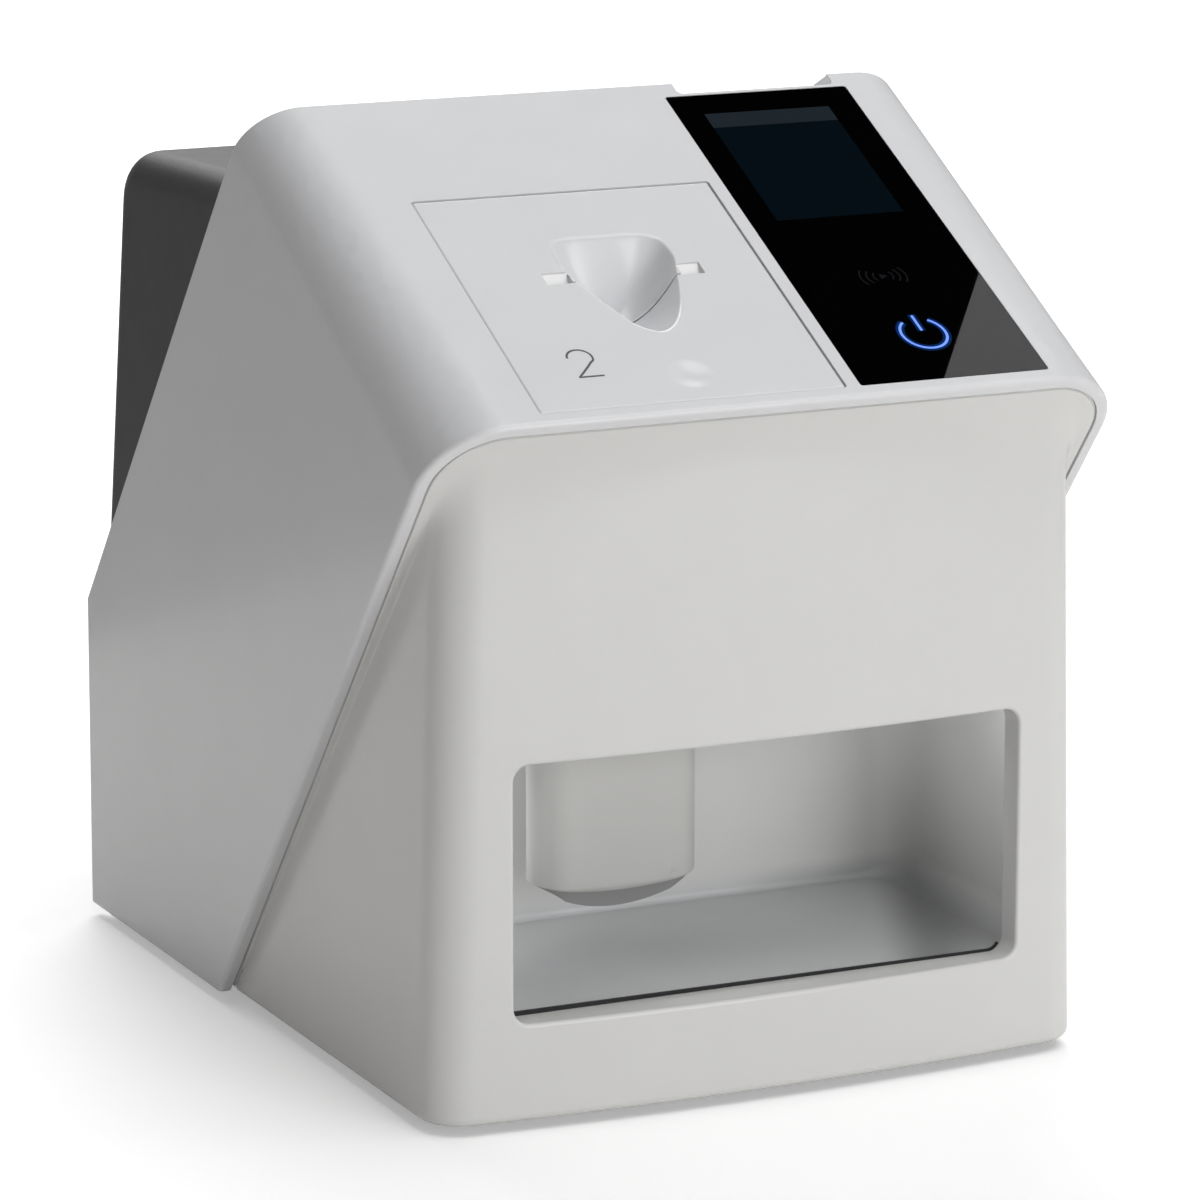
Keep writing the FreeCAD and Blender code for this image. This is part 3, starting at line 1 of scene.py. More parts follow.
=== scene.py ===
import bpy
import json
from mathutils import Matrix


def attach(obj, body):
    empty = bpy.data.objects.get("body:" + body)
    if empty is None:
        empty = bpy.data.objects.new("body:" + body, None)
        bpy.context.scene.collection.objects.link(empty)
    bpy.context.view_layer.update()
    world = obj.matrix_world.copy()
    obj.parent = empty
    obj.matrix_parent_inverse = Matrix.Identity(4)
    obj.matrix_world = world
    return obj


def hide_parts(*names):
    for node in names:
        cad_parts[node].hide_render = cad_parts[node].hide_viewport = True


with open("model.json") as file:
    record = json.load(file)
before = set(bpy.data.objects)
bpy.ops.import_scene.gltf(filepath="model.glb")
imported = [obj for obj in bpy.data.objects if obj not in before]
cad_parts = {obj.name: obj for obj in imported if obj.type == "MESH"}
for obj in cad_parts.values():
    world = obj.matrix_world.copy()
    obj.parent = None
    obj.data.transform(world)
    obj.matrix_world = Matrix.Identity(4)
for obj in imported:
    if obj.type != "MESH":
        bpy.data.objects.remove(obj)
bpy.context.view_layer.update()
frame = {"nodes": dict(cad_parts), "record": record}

import json
import math

import bmesh
import bpy
from mathutils import Euler, Matrix, Vector

MM = 0.001
scene = bpy.context.scene
NODES = frame["nodes"]
for old in list(bpy.data.materials):
    bpy.data.materials.remove(old)


# ------------------------------------------------------------------ materials
def nodes_of(name):
    m = bpy.data.materials.new(name)
    m.use_nodes = True
    nt = m.node_tree
    nt.nodes.clear()
    out = nt.nodes.new("ShaderNodeOutputMaterial")
    bs = nt.nodes.new("ShaderNodeBsdfPrincipled")
    nt.links.new(bs.outputs[0], out.inputs[0])
    return m, nt, bs


def noise(nt, scale, detail=3.0, rough=0.55, stretch=None, seed=0.0):
    tc = nt.nodes.new("ShaderNodeTexCoord")
    mp = nt.nodes.new("ShaderNodeMapping")
    mp.inputs["Location"].default_value = (seed, seed * 0.7, seed * 1.3)
    if stretch:
        mp.inputs["Scale"].default_value = stretch
    n = nt.nodes.new("ShaderNodeTexNoise")
    n.inputs["Scale"].default_value = scale
    n.inputs["Detail"].default_value = detail
    n.inputs["Roughness"].default_value = rough
    nt.links.new(tc.outputs["Object"], mp.inputs["Vector"])
    nt.links.new(mp.outputs[0], n.inputs["Vector"])
    return n.outputs[0]


def ranged(nt, src, lo, hi, a=0.3, b=0.7):
    r = nt.nodes.new("ShaderNodeMapRange")
    r.inputs["From Min"].default_value = a
    r.inputs["From Max"].default_value = b
    r.inputs["To Min"].default_value = lo
    r.inputs["To Max"].default_value = hi
    nt.links.new(src, r.inputs["Value"])
    return r.outputs[0]


def mixed(nt, fac, a, b):
    mx = nt.nodes.new("ShaderNodeMix")
    mx.data_type = "RGBA"
    mx.inputs[6].default_value = (*a, 1)
    mx.inputs[7].default_value = (*b, 1)
    nt.links.new(fac, mx.inputs[0])
    return mx.outputs[2]


def surface(name, color, rough=0.4, metal=0.0, grain=900.0, bump=0.05, dist=0.0001, tint=0.04, spread=0.06,
            coat=0.0, coat_rough=0.1, ior=1.45, stretch=None, spec=None, transmission=0.0, seed=0.0, subsurf=0.0):
    """Colour with a faint cloudiness, roughness that wanders a little, and a fine relief."""
    m, nt, bs = nodes_of(name)
    big = noise(nt, 22.0, 4.0, 0.6, None, seed)
    fine = noise(nt, grain, 2.0, 0.5, stretch, seed + 3.0)
    dark = tuple(max(0.0, c * (1 - tint)) for c in color)
    lite = tuple(min(1.0, c * (1 + tint)) for c in color)
    nt.links.new(mixed(nt, ranged(nt, big, 0.0, 1.0), dark, lite), bs.inputs["Base Color"])
    nt.links.new(ranged(nt, noise(nt, 60.0, 5.0, 0.6, stretch, seed + 7.0), max(rough - spread, 0.004), min(rough + spread, 1.0)), bs.inputs["Roughness"])
    bs.inputs["Metallic"].default_value = metal
    bs.inputs["IOR"].default_value = ior
    bs.inputs["Coat Weight"].default_value = coat
    bs.inputs["Coat Roughness"].default_value = coat_rough
    bs.inputs["Transmission Weight"].default_value = transmission
    bs.inputs["Subsurface Weight"].default_value = subsurf
    if spec is not None:
        bs.inputs["Specular IOR Level"].default_value = spec
    bp = nt.nodes.new("ShaderNodeBump")
    bp.inputs["Strength"].default_value = bump
    bp.inputs["Distance"].default_value = dist
    nt.links.new(fine, bp.inputs["Height"])
    nt.links.new(bp.outputs[0], bs.inputs["Normal"])
    return m


M = {
    "white_shell": surface("white_shell", (0.688, 0.693, 0.708), 0.24, grain=420, bump=0.015, tint=0.012, spread=0.03, coat=0.12, coat_rough=0.08),
    "white_front": surface("white_front", (0.66, 0.66, 0.652), 0.22, grain=420, bump=0.015, tint=0.012, spread=0.03, coat=0.12, coat_rough=0.08, seed=2),
    "white_insert": surface("white_insert", (0.688, 0.693, 0.708), 0.24, grain=420, bump=0.015, tint=0.012, spread=0.03, coat=0.12, coat_rough=0.08),
    "white_liner": surface("white_liner", (0.84, 0.84, 0.83), 0.34, grain=500, bump=0.03, tint=0.015, spread=0.05, seed=6),
    "dark_cover": surface("dark_cover", (0.044, 0.0430, 0.0470), 0.46, spec=0.42, grain=1500, bump=0.35, dist=0.0002, tint=0.05, spread=0.025, seed=1),
    "base_grey": surface("base_grey", (0.10, 0.10, 0.105), 0.55, grain=1400, bump=0.3, dist=0.0002, tint=0.08, seed=9),
    "floor_grey": surface("floor_grey", (0.66, 0.67, 0.68), 0.40, grain=1200, bump=0.12, tint=0.03, seed=5),
    "rubber": surface("rubber", (0.022, 0.022, 0.023), 0.75, grain=1600, bump=0.3, tint=0.15, seed=8),
    "steel": surface("steel", (0.56, 0.56, 0.57), 0.28, 1.0, grain=700, bump=0.08, tint=0.06, stretch=(1, 8, 8), seed=11),
    "sheet_steel": surface("sheet_steel", (0.50, 0.51, 0.53), 0.36, 1.0, grain=500, bump=0.10, tint=0.10, spread=0.10, seed=12),
    "alu": surface("alu", (0.74, 0.74, 0.76), 0.30, 1.0, grain=800, bump=0.10, tint=0.05, stretch=(10, 1, 1), seed=13),
    "alu_black": surface("alu_black", (0.030, 0.030, 0.034), 0.36, 0.6, grain=900, bump=0.10, tint=0.10, seed=14),
    "motor_black": surface("motor_black", (0.028, 0.028, 0.030), 0.42, 0.2, grain=900, bump=0.12, tint=0.12, seed=15),
    "bush": surface("bush", (0.48, 0.33, 0.15), 0.40, 1.0, grain=1200, bump=0.20, tint=0.10, seed=16),
    "brass": surface("brass", (0.72, 0.54, 0.24), 0.26, 1.0, grain=900, bump=0.08, tint=0.06, seed=17),
    "black_inner": surface("black_inner", (0.022, 0.022, 0.024), 0.50, grain=1000, bump=0.15, tint=0.12, seed=18),
    "black_glass": surface("black_glass", (0.0006, 0.0006, 0.0008), 0.010, grain=250, bump=0.0015, tint=0.10, spread=0.004, coat=0.0, coat_rough=0.02, ior=1.5, seed=19),
    "lcd": surface("lcd", (0.010, 0.016, 0.026), 0.30, grain=900, bump=0.03, tint=0.15, seed=20),
    "light_guide": surface("light_guide", (0.10, 0.25, 0.90), 0.30, grain=600, bump=0.05, tint=0.05, seed=21),
    "board_green": surface("board_green", (0.012, 0.120, 0.050), 0.34, grain=500, bump=0.20, dist=0.0002, tint=0.25, seed=22),
    "prism_glass": surface("prism_glass", (0.90, 0.95, 0.96), 0.04, grain=300, bump=0.004, tint=0.02, spread=0.01, transmission=0.9, ior=1.52, seed=23),
    "mirror": surface("mirror", (0.90, 0.90, 0.91), 0.06, 1.0, grain=300, bump=0.01, tint=0.02, spread=0.02, seed=24),
    "ribbon": surface("ribbon", (0.60, 0.60, 0.58), 0.45, grain=260, bump=0.20, tint=0.10, stretch=(14, 1, 1), seed=25),
    "button_grey": surface("button_grey", (0.20, 0.20, 0.21), 0.45, grain=900, bump=0.12, tint=0.06, seed=26),
}


# ------------------------------------------------------------------ smooth shading that leaves the vertices alone
def smooth_group():
    ng = bpy.data.node_groups.new("smooth_by_angle", "GeometryNodeTree")
    ng.interface.new_socket("Geometry", in_out="INPUT", socket_type="NodeSocketGeometry")
    ng.interface.new_socket("Geometry", in_out="OUTPUT", socket_type="NodeSocketGeometry")
    gi, go = ng.nodes.new("NodeGroupInput"), ng.nodes.new("NodeGroupOutput")
    mg = ng.nodes.new("GeometryNodeMergeByDistance")
    mg.inputs["Distance"].default_value = 0.000002
    s1 = ng.nodes.new("GeometryNodeSetShadeSmooth")
    s1.domain = "FACE"
    s1.inputs["Shade Smooth"].default_value = True
    an = ng.nodes.new("GeometryNodeInputMeshEdgeAngle")
    cp = ng.nodes.new("FunctionNodeCompare")
    cp.data_type, cp.operation = "FLOAT", "LESS_THAN"
    cp.inputs[1].default_value = math.radians(26)
    s2 = ng.nodes.new("GeometryNodeSetShadeSmooth")
    s2.domain = "EDGE"
    L = ng.links.new
    L(gi.outputs[0], mg.inputs[0]); L(mg.outputs[0], s1.inputs[0]); L(s1.outputs[0], s2.inputs[0])
    L(an.outputs[0], cp.inputs[0]); L(cp.outputs[0], s2.inputs["Shade Smooth"]); L(s2.outputs[0], go.inputs[0])
    return ng


SMOOTH = smooth_group()
slots = {s["node"]: s["material_slot"] for s in frame["record"]["subparts"]}
for n, o in NODES.items():
    o.data.materials.clear()
    o.data.materials.append(M[slots[n]])
    for p in o.data.polygons:
        p.material_index = 0
    md = o.modifiers.new("smooth", "NODES")
    md.node_group = SMOOTH
    md = o.modifiers.new("normals", "WEIGHTED_NORMAL")
    md.mode, md.weight, md.keep_sharp = "FACE_AREA", 50, True

# ------------------------------------------------------------------ building meshes
TA = math.radians(27.57)
TS, TC = math.sin(TA), math.cos(TA)
CREST = (-3.55, 289.8)


def top(x, u, up=0.0):
    """Millimetres on the sloping top to metres: x across, u down the slope, up off the surface."""
    return Vector((x, CREST[0] - u * TC - up * TS, CREST[1] - u * TS + up * TC)) * MM


def piece(name, verts, faces, material, body="housing", sharp=30.0, out=None, weld=0.000002):
    """A mesh piece that rides on a body.  out: a function that gives a direction its faces should look along."""
    me = bpy.data.meshes.new(name)
    me.from_pydata([tuple(v) for v in verts], [], [tuple(f) for f in faces])
    bm = bmesh.new()
    bm.from_mesh(me)
    bmesh.ops.remove_doubles(bm, verts=bm.verts, dist=weld)
    bmesh.ops.dissolve_degenerate(bm, edges=bm.edges, dist=weld)
    if out is None:
        bmesh.ops.recalc_face_normals(bm, faces=bm.faces)
    else:
        bm.normal_update()
        s = sum(f.calc_area() * f.normal.dot(out(f.calc_center_median())) for f in bm.faces)
        if s < 0:
            bmesh.ops.reverse_faces(bm, faces=bm.faces)
    for f in bm.faces:
        f.smooth = True
    for e in bm.edges:
        if len(e.link_faces) == 2:
            e.smooth = e.calc_face_angle(0.0) < math.radians(sharp)
    bm.to_mesh(me)
    bm.free()
    me.materials.append(material)
    o = bpy.data.objects.new(name, me)
    scene.collection.objects.link(o)
    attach(o, body)
    return o


def solid(o, thick, offset=-1.0):
    md = o.modifiers.new("wall", "SOLIDIFY")
    md.thickness, md.offset = thick * MM, offset
    md.use_even_offset = True
    return o


def weighted(o):
    md = o.modifiers.new("normals", "WEIGHTED_NORMAL")
    md.mode, md.weight, md.keep_sharp = "FACE_AREA", 50, True
    return o


def closed_spline(pts, n):
    """n points along a smooth closed line through pts."""
    m = len(pts)
    out = []
    for k in range(n):
        t = k * m / n
        i = int(t) % m
        f = t - int(t)
        p0, p1, p2, p3 = (pts[(i + d) % m] for d in (-1, 0, 1, 2))
        out.append(tuple(0.5 * ((2 * p1[c]) + (-p0[c] + p2[c]) * f + (2 * p0[c] - 5 * p1[c] + 4 * p2[c] - p3[c]) * f * f
                                + (-p0[c] + 3 * p1[c] - 3 * p2[c] + p3[c]) * f ** 3) for c in (0, 1)))
    return out


def ribbon(name, line, width, material, body, up=0.02, thick=0.04, place=top, closed=False, ends=True):
    """A flat printed line on the sloping top; line is in (x, u)."""
    verts, faces = [], []
    n = len(line)
    L, R = [], []
    for i, p in enumerate(line):
        a = line[(i - 1) % n] if closed or i > 0 else line[0]
        b = line[(i + 1) % n] if closed or i < n - 1 else line[-1]
        d = Vector((b[0] - a[0], b[1] - a[1]))
        d.normalize()
        w_ = width / 2
        L.append((p[0] - d.y * w_, p[1] + d.x * w_))
        R.append((p[0] + d.y * w_, p[1] - d.x * w_))
    for q in (L, R):
        for z in (up, up - thick):
            verts += [place(x, u, z) for x, u in q]
    m = n if closed else n - 1
    for i in range(m):
        j = (i + 1) % n
        faces.append((i, j, 2 * n + j, 2 * n + i))
        faces.append((i, n + i, n + j, j))
        faces.append((2 * n + i, 2 * n + j, 3 * n + j, 3 * n + i))
    if not closed:
        faces.append((0, 2 * n, 3 * n, n))
        faces.append((n - 1, 2 * n - 1, 4 * n - 1, 3 * n - 1))
    return piece(name, verts, faces, material, body, 40)


def slab(name, outline, z1, z2, material, body="housing", place=top, holes=(), bevel=0.0, sharp=35.0):
    """A plate with holes between two heights, its upper edges broken by `bevel`."""
    from mathutils.geometry import delaunay_2d_cdt
    loops = [list(outline)] + [list(h) for h in holes]
    pts, edges = [], []
    for lp in loops:
        s = len(pts)
        pts += [Vector(p) for p in lp]
        edges += [(s + i, s + (i + 1) % len(lp)) for i in range(len(lp))]
    face_loops = [list(range(len(outline)))]
    v2, _, tri, ov, _, of = delaunay_2d_cdt(pts, edges, [], 0, 1e-5, True)

    def inside(p, lp):
        c = False
        j = len(lp) - 1
        for i in range(len(lp)):
            xi, yi = lp[i]
            xj, yj = lp[j]
            if (yi > p[1]) != (yj > p[1]) and p[0] < (xj - xi) * (p[1] - yi) / (yj - yi) + xi:
                c = not c
            j = i
        return c

    tri = [t for t in tri if inside((sum(v2[i][0] for i in t) / 3, sum(v2[i][1] for i in t) / 3), outline)
           and not any(inside((sum(v2[i][0] for i in t) / 3, sum(v2[i][1] for i in t) / 3), h) for h in holes)]
    n = len(v2)
    verts = [place(p[0], p[1], z2) for p in v2] + [place(p[0], p[1], z1) for p in v2]
    faces = [tuple(t) for t in tri] + [tuple(n + i for i in reversed(t)) for t in tri]
    count = {}
    for t in tri:
        for a, b in zip(t, (*t[1:], t[0])):
            count[(a, b)] = count.get((a, b), 0) + 1
    for (a, b) in count:
        if (b, a) not in count:
            faces.append((b, a, n + a, n + b))
    o = piece(name, verts, faces, material, body, sharp)
    if bevel:
        md = o.modifiers.new("edge", "BEVEL")
        md.width, md.segments, md.limit_method, md.angle_limit = bevel * MM, 3, "ANGLE", math.radians(50)
        weighted(o)
    return o


def round_rect(x1, x2, y1, y2, r, k=6):
    out = []
    for cx, cy, a0 in ((x2 - r, y2 - r, 0), (x1 + r, y2 - r, 90), (x1 + r, y1 + r, 180), (x2 - r, y1 + r, 270)):
        for i in range(k + 1):
            a = math.radians(a0 + 90.0 * i / k)
            out.append((cx + r * math.cos(a), cy + r * math.sin(a)))
    return out


# ------------------------------------------------------------------ plate insert
def build_insert():
    from mathutils.geometry import delaunay_2d_cdt
    rec = [(-44.6, 79.5), (-42.2, 76.3), (-36.3, 75.3), (-26.0, 75.3), (-16.4, 75.4), (-11.3, 76.5), (-8.1, 79.4), (-7.1, 84.7), (-7.6, 89.7),
           (-10, 97.1), (-12.4, 104.4), (-14.8, 110.8), (-18.2, 117), (-21.5, 120.7), (-25.7, 122.9), (-29.6, 121.4), (-33.4, 117.6), (-35.9, 112.4),
           (-38.2, 107.6), (-40.7, 101.8), (-42.9, 96.5), (-44.3, 91.3), (-45.2, 86.2)]
    ring = closed_spline(rec, 120)
    C = (-26.0, 95.0)
    pol = sorted((math.atan2(u - C[1], x - C[0]), math.hypot(x - C[0], u - C[1])) for x, u in ring)

    def radius(a):
        lo_, hi_ = pol[-1], pol[0]
        for i in range(len(pol)):
            if pol[i][0] > a:
                hi_, lo_ = pol[i], pol[i - 1]
                break
        d = (hi_[0] - lo_[0]) % (2 * math.pi)
        f = ((a - lo_[0]) % (2 * math.pi)) / d if d else 0
        return lo_[1] + (hi_[1] - lo_[1]) * f

    x1, x2, u1, u2 = -79.06, 19.62, 52.08, 156.36
    deep = 18.6

    def depth(x, u):
        dx, du = x - C[0], u - C[1]
        r = math.hypot(dx, du)
        a = math.atan2(du, dx)
        rho = r / radius(a) if r > 1e-6 else 0.0
        d = 0.0
        if rho < 1.5:
            s_ = math.sin(a)
            p = 2.7 + (1.15 - 2.7) * abs(s_) ** 0.8 if s_ < 0 else 2.7 + (1.7 - 2.7) * s_
            g = deep * (1 - rho ** p)
            d = 0.5 * (g + math.sqrt(g * g + 0.45 ** 2))
            d *= 1.0 if rho < 1.0 else max(0.0, 1 - (rho - 1) / 0.16)
        q = math.hypot((x + 26.0) / 7.9, (u - 144.0) / 7.2)
        if q < 1:
            d += 0.70 * (1 - q * q) ** 1.6
        e = min(x - x1, x2 - x, u - u1, u2 - u)
        if e < 0.8:
            e = max(e, 0.0)
            d += 0.8 - math.sqrt(max(0.0, 0.8 ** 2 - (0.8 - e) ** 2))
        return d

    pts, edges = [], []

    def loop(lp):
        s = len(pts)
        pts.extend(Vector(p) for p in lp)
        edges.extend((s + i, s + (i + 1) % len(lp)) for i in range(len(lp)))

    for off in (0.0, 0.06, 0.16, 0.32, 0.55, 0.8):
        loop(round_rect(x1 + off, x2 - off, u1 + off, u2 - off, 1.0 - off * 0.8, 5))
    for rho in (1.16, 1.10, 1.06, 1.035, 1.015, 1.0, 0.985, 0.965, 0.94, 0.91, 0.87, 0.82, 0.76, 0.69, 0.61, 0.52, 0.43, 0.34, 0.25, 0.16, 0.08):
        loop([(C[0] + (x - C[0]) * rho, C[1] + (u - C[1]) * rho) for x, u in ring])
    for q in (1.0, 0.93, 0.85, 0.76, 0.66, 0.55, 0.43, 0.3, 0.15):
        loop([(-26 + 7.9 * q * math.cos(t * math.pi / 24), 144 + 7.2 * q * math.sin(t * math.pi / 24)) for t in range(48)])
    sx1, sx2, su1, su2 = -52.5, -0.5, 91.4, 97.0
    nx1, nx2, nu = -44.0, -8.2, 96.0             # between these the slot is narrow
    loop([(sx1, su1), (-49.7, su1), (-46.8, su1), (nx1, su1), (nx1, 92.8), (nx1, 94.2), (nx1, nu)]
         + [(nx1 + i * (nx2 - nx1) / 40, nu) for i in range(1, 40)]
         + [(nx2, nu), (nx2, 94.2), (nx2, 92.8), (nx2, su1), (-5.6, su1), (-3.0, su1), (sx2, su1)]
         + [(sx2 - i * (sx2 - sx1) / 52, su2) for i in range(53)])
    v2, _, tri, _, _, _ = delaunay_2d_cdt(pts, edges, [], 0, 1e-4, True)
    keep = []
    for t in tri:
        cx_, cu = sum(v2[i][0] for i in t) / 3, sum(v2[i][1] for i in t) / 3
        if sx1 < cx_ < sx2 and (nu if nx1 < cx_ < nx2 else su1) < cu < su2:
            continue
        if len(t) > 2:
            keep.append(t)
    verts = [top(p[0], p[1], -0.05 - depth(p[0], p[1])) for p in v2]
    n = len(verts)
    # walls of the slot, down through the insert, and the panel's own edge
    count = {}
    for t in keep:
        for a, b in zip(t, (*t[1:], t[0])):
            count[(a, b)] = 1
    faces = list(keep)
    low = {}

    def below(i):
        if i not in low:
            p = v2[i]
            e = min(p[0] - x1, x2 - p[0], p[1] - u1, u2 - p[1])
            low[i] = len(verts)
            verts.append(top(p[0], p[1], -2.5 if e < 0.05 else -20.6))
        return low[i]

    for (a, b) in count:
        if (b, a) not in count:
            faces.append((b, a, below(a), below(b)))
    skin = piece("insert_top", verts, faces, M["white_insert"], "insert", 34, out=lambda c: Vector((0, -TS, TC)))
    weighted(skin)
    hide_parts("plate_insert")
    # underside, skirt, pocket
    cx = -25.5
    under = [(x1, u1), (x2, u1), (x2, u2), (x1, u2)]
    rec_hole = [(C[0] + (x - C[0]) * 1.05, C[1] + (u - C[1]) * 1.05) for x, u in ring[::3]]
    ends = [(sx1 - 0.6, su1 - 0.6), (sx2 + 0.6, su1 - 0.6), (sx2 + 0.6, su2 + 0.6), (sx1 - 0.6, su2 + 0.6)]
    slab("insert_underside", round_rect(x1 + 0.02, x2 - 0.02, u1 + 0.02, u2 - 0.02, 1.0), -2.5, -2.2, M["white_insert"], "insert",
         holes=[round_rect(cx - 29.3, cx + 29.3, 70.2, 127.8, 4.0)])
    slab("insert_skirt", round_rect(-74.8, 15.6, 56.1, 152.1, 3.0), -8.0, -2.3, M["white_insert"], "insert",
         holes=[round_rect(-73.0, 13.8, 57.9, 150.3, 2.0)], bevel=0.3)
    tub = closed_spline([(cx - 29.5, 74), (cx - 26, 70), (cx, 70), (cx + 26, 70), (cx + 29.5, 74), (cx + 29.5, 88), (cx + 28.8, 104), (cx + 20, 117), (cx + 11, 127.2), (cx, 128),
                         (cx - 11, 127.2), (cx - 20, 117), (cx - 28.8, 104), (cx - 29.5, 88)], 84)
    inner = [(cx + (x - cx) * 0.945, 99 + (u - 99) * 0.945) for x, u in tub]
    slab("insert_pocket_wall", tub, -19.4, -2.3, M["white_insert"], "insert", holes=[inner])
    slab("insert_pocket_floor", tub, -20.5, -19.3, M["white_insert"], "insert", holes=[round_rect(cx - 26.9, cx + 26.9, 91.4, 97.0, 0.8)], bevel=0.3)
    # the shallow ends of the slot, in a lighter white than the insert: painted light
    painted_light_white = surface("slot_end", (0.84, 0.84, 0.84), 0.35, grain=400, bump=0.02, tint=0.01, seed=33)
    for nm, xa, xb in (("slot_end_left", sx1, -44.0), ("slot_end_right", -8.2, sx2)):
        vv = []
        for x in (xa, xb):
            vv += [top(x, su1, -0.55), top(x, su2, -3.7), top(x, su2, -6.0), top(x, su1, -6.0)]
        piece(nm, vv, [(0, 1, 5, 4), (1, 2, 6, 5), (2, 3, 7, 6), (3, 0, 4, 7), (0, 3, 2, 1), (4, 5, 6, 7)], painted_light_white, "insert")
    # the digit
    ink = surface("printed_ink", (0.055, 0.055, 0.060), 0.45, grain=600, bump=0.03, tint=0.05, seed=34)
    two = []
    for k in range(22):
        a = math.radians(182 + 205 * k / 21)
        two.append((-56.75 + 3.95 * math.cos(a), 132.35 + 3.75 * math.sin(a)))
    two += [(-54.3, 134.9), (-55.8, 136.6), (-58.3, 139.2), (-60.35, 141.25)]
    ribbon("digit_stroke", two, 0.72, ink, "insert", up=-0.03, thick=0.05)
    ribbon("digit_base", [(-60.75, 141.35), (-56.5, 141.35), (-52.5, 141.35)], 0.72, ink, "insert", up=-0.029, thick=0.05)
    return ink


build_insert()


# ------------------------------------------------------------------ display graphics
def glow(name, color, strength, base=(0.0008, 0.0008, 0.001), rough=0.012):
    m, nt, bs = nodes_of(name)
    f = noise(nt, 300.0, 3.0)
    nt.links.new(mixed(nt, ranged(nt, f, 0, 1), tuple(c * 0.95 for c in base), base), bs.inputs["Base Color"])
    nt.links.new(ranged(nt, noise(nt, 60.0, 3.0), max(rough - 0.004, 0.004), rough + 0.004), bs.inputs["Roughness"])
    nt.links.new(mixed(nt, ranged(nt, noise(nt, 40.0, 2.0), 0, 1), tuple(c * 0.94 for c in color), color), bs.inputs["Emission Color"])
    bs.inputs["Emission Strength"].default_value = strength
    bp = nt.nodes.new("ShaderNodeBump")
    bp.inputs["Strength"].default_value = 0.004
    nt.links.new(noise(nt, 250.0, 2.0), bp.inputs["Height"])
    nt.links.new(bp.outputs[0], bs.inputs["Normal"])
    return m


def build_display():
    screen = glow("screen_dark", (0.0009, 0.0042, 0.0068), 1.0)
    bar = glow("screen_bar", (0.0135, 0.0195, 0.0255), 1.0)
    grey = glow("symbol_grey", (0.0085, 0.0085, 0.010), 1.0)
    blue = glow("symbol_blue", (0.18, 0.31, 1.0), 1.2, base=(0.02, 0.05, 0.3))
    halo = glow("symbol_halo", (0.003, 0.024, 0.095), 1.0, base=(0.0, 0.001, 0.01))
    g = -0.06
    flat = lambda x, u, up: top(x, u, up)
    slab("screen_image", [(33.9, 17.1), (77.5, 17.1), (77.5, 74.0), (33.9, 74.0)], g - 0.02, g + 0.010, screen, place=flat)
    slab("screen_status_bar", [(33.9, 17.1), (77.5, 17.1), (77.5, 24.6), (33.9, 24.6)], g - 0.02, g + 0.016, bar, place=flat)
    cx, cu = 55.8, 105.4
    for k, r in enumerate((3.3, 5.5, 7.7)):
        half = (42, 38, 34)[k]
        for side in (0, 180):
            line = [(cx + r * math.cos(math.radians(side + a)), cu + r * 0.86 * math.sin(math.radians(side + a))) for a in range(-half, half + 1, 4)]
            ribbon("contactless_arc_%d_%d" % (k, side), line, 0.55, grey, "housing", up=g + 0.012, thick=0.03)
    tri = [(cx - 1.1, cu - 1.4), (cx + 1.5, cu), (cx - 1.1, cu + 1.4)]
    slab("contactless_mark", tri, g - 0.02, g + 0.012, grey, place=flat)
    px_, pu = 56.0, 134.3
    ring = [(px_ + 7.3 * math.sin(math.radians(a)), pu - 7.3 * math.cos(math.radians(a))) for a in range(34, 327, 6)]
    ribbon("power_halo", ring, 2.7, halo, "housing", up=g + 0.010, thick=0.03)
    ribbon("power_bar_halo", [(px_, pu - 9.2), (px_, pu - 5.0), (px_, pu - 1.1)], 2.6, halo, "housing", up=g + 0.011, thick=0.03)
    ribbon("power_ring", ring, 0.85, blue, "housing", up=g + 0.015, thick=0.04)
    ribbon("power_bar", [(px_, pu - 8.8), (px_, pu - 5.0), (px_, pu - 1.3)], 0.85, blue, "housing", up=g + 0.016, thick=0.04)


build_display()


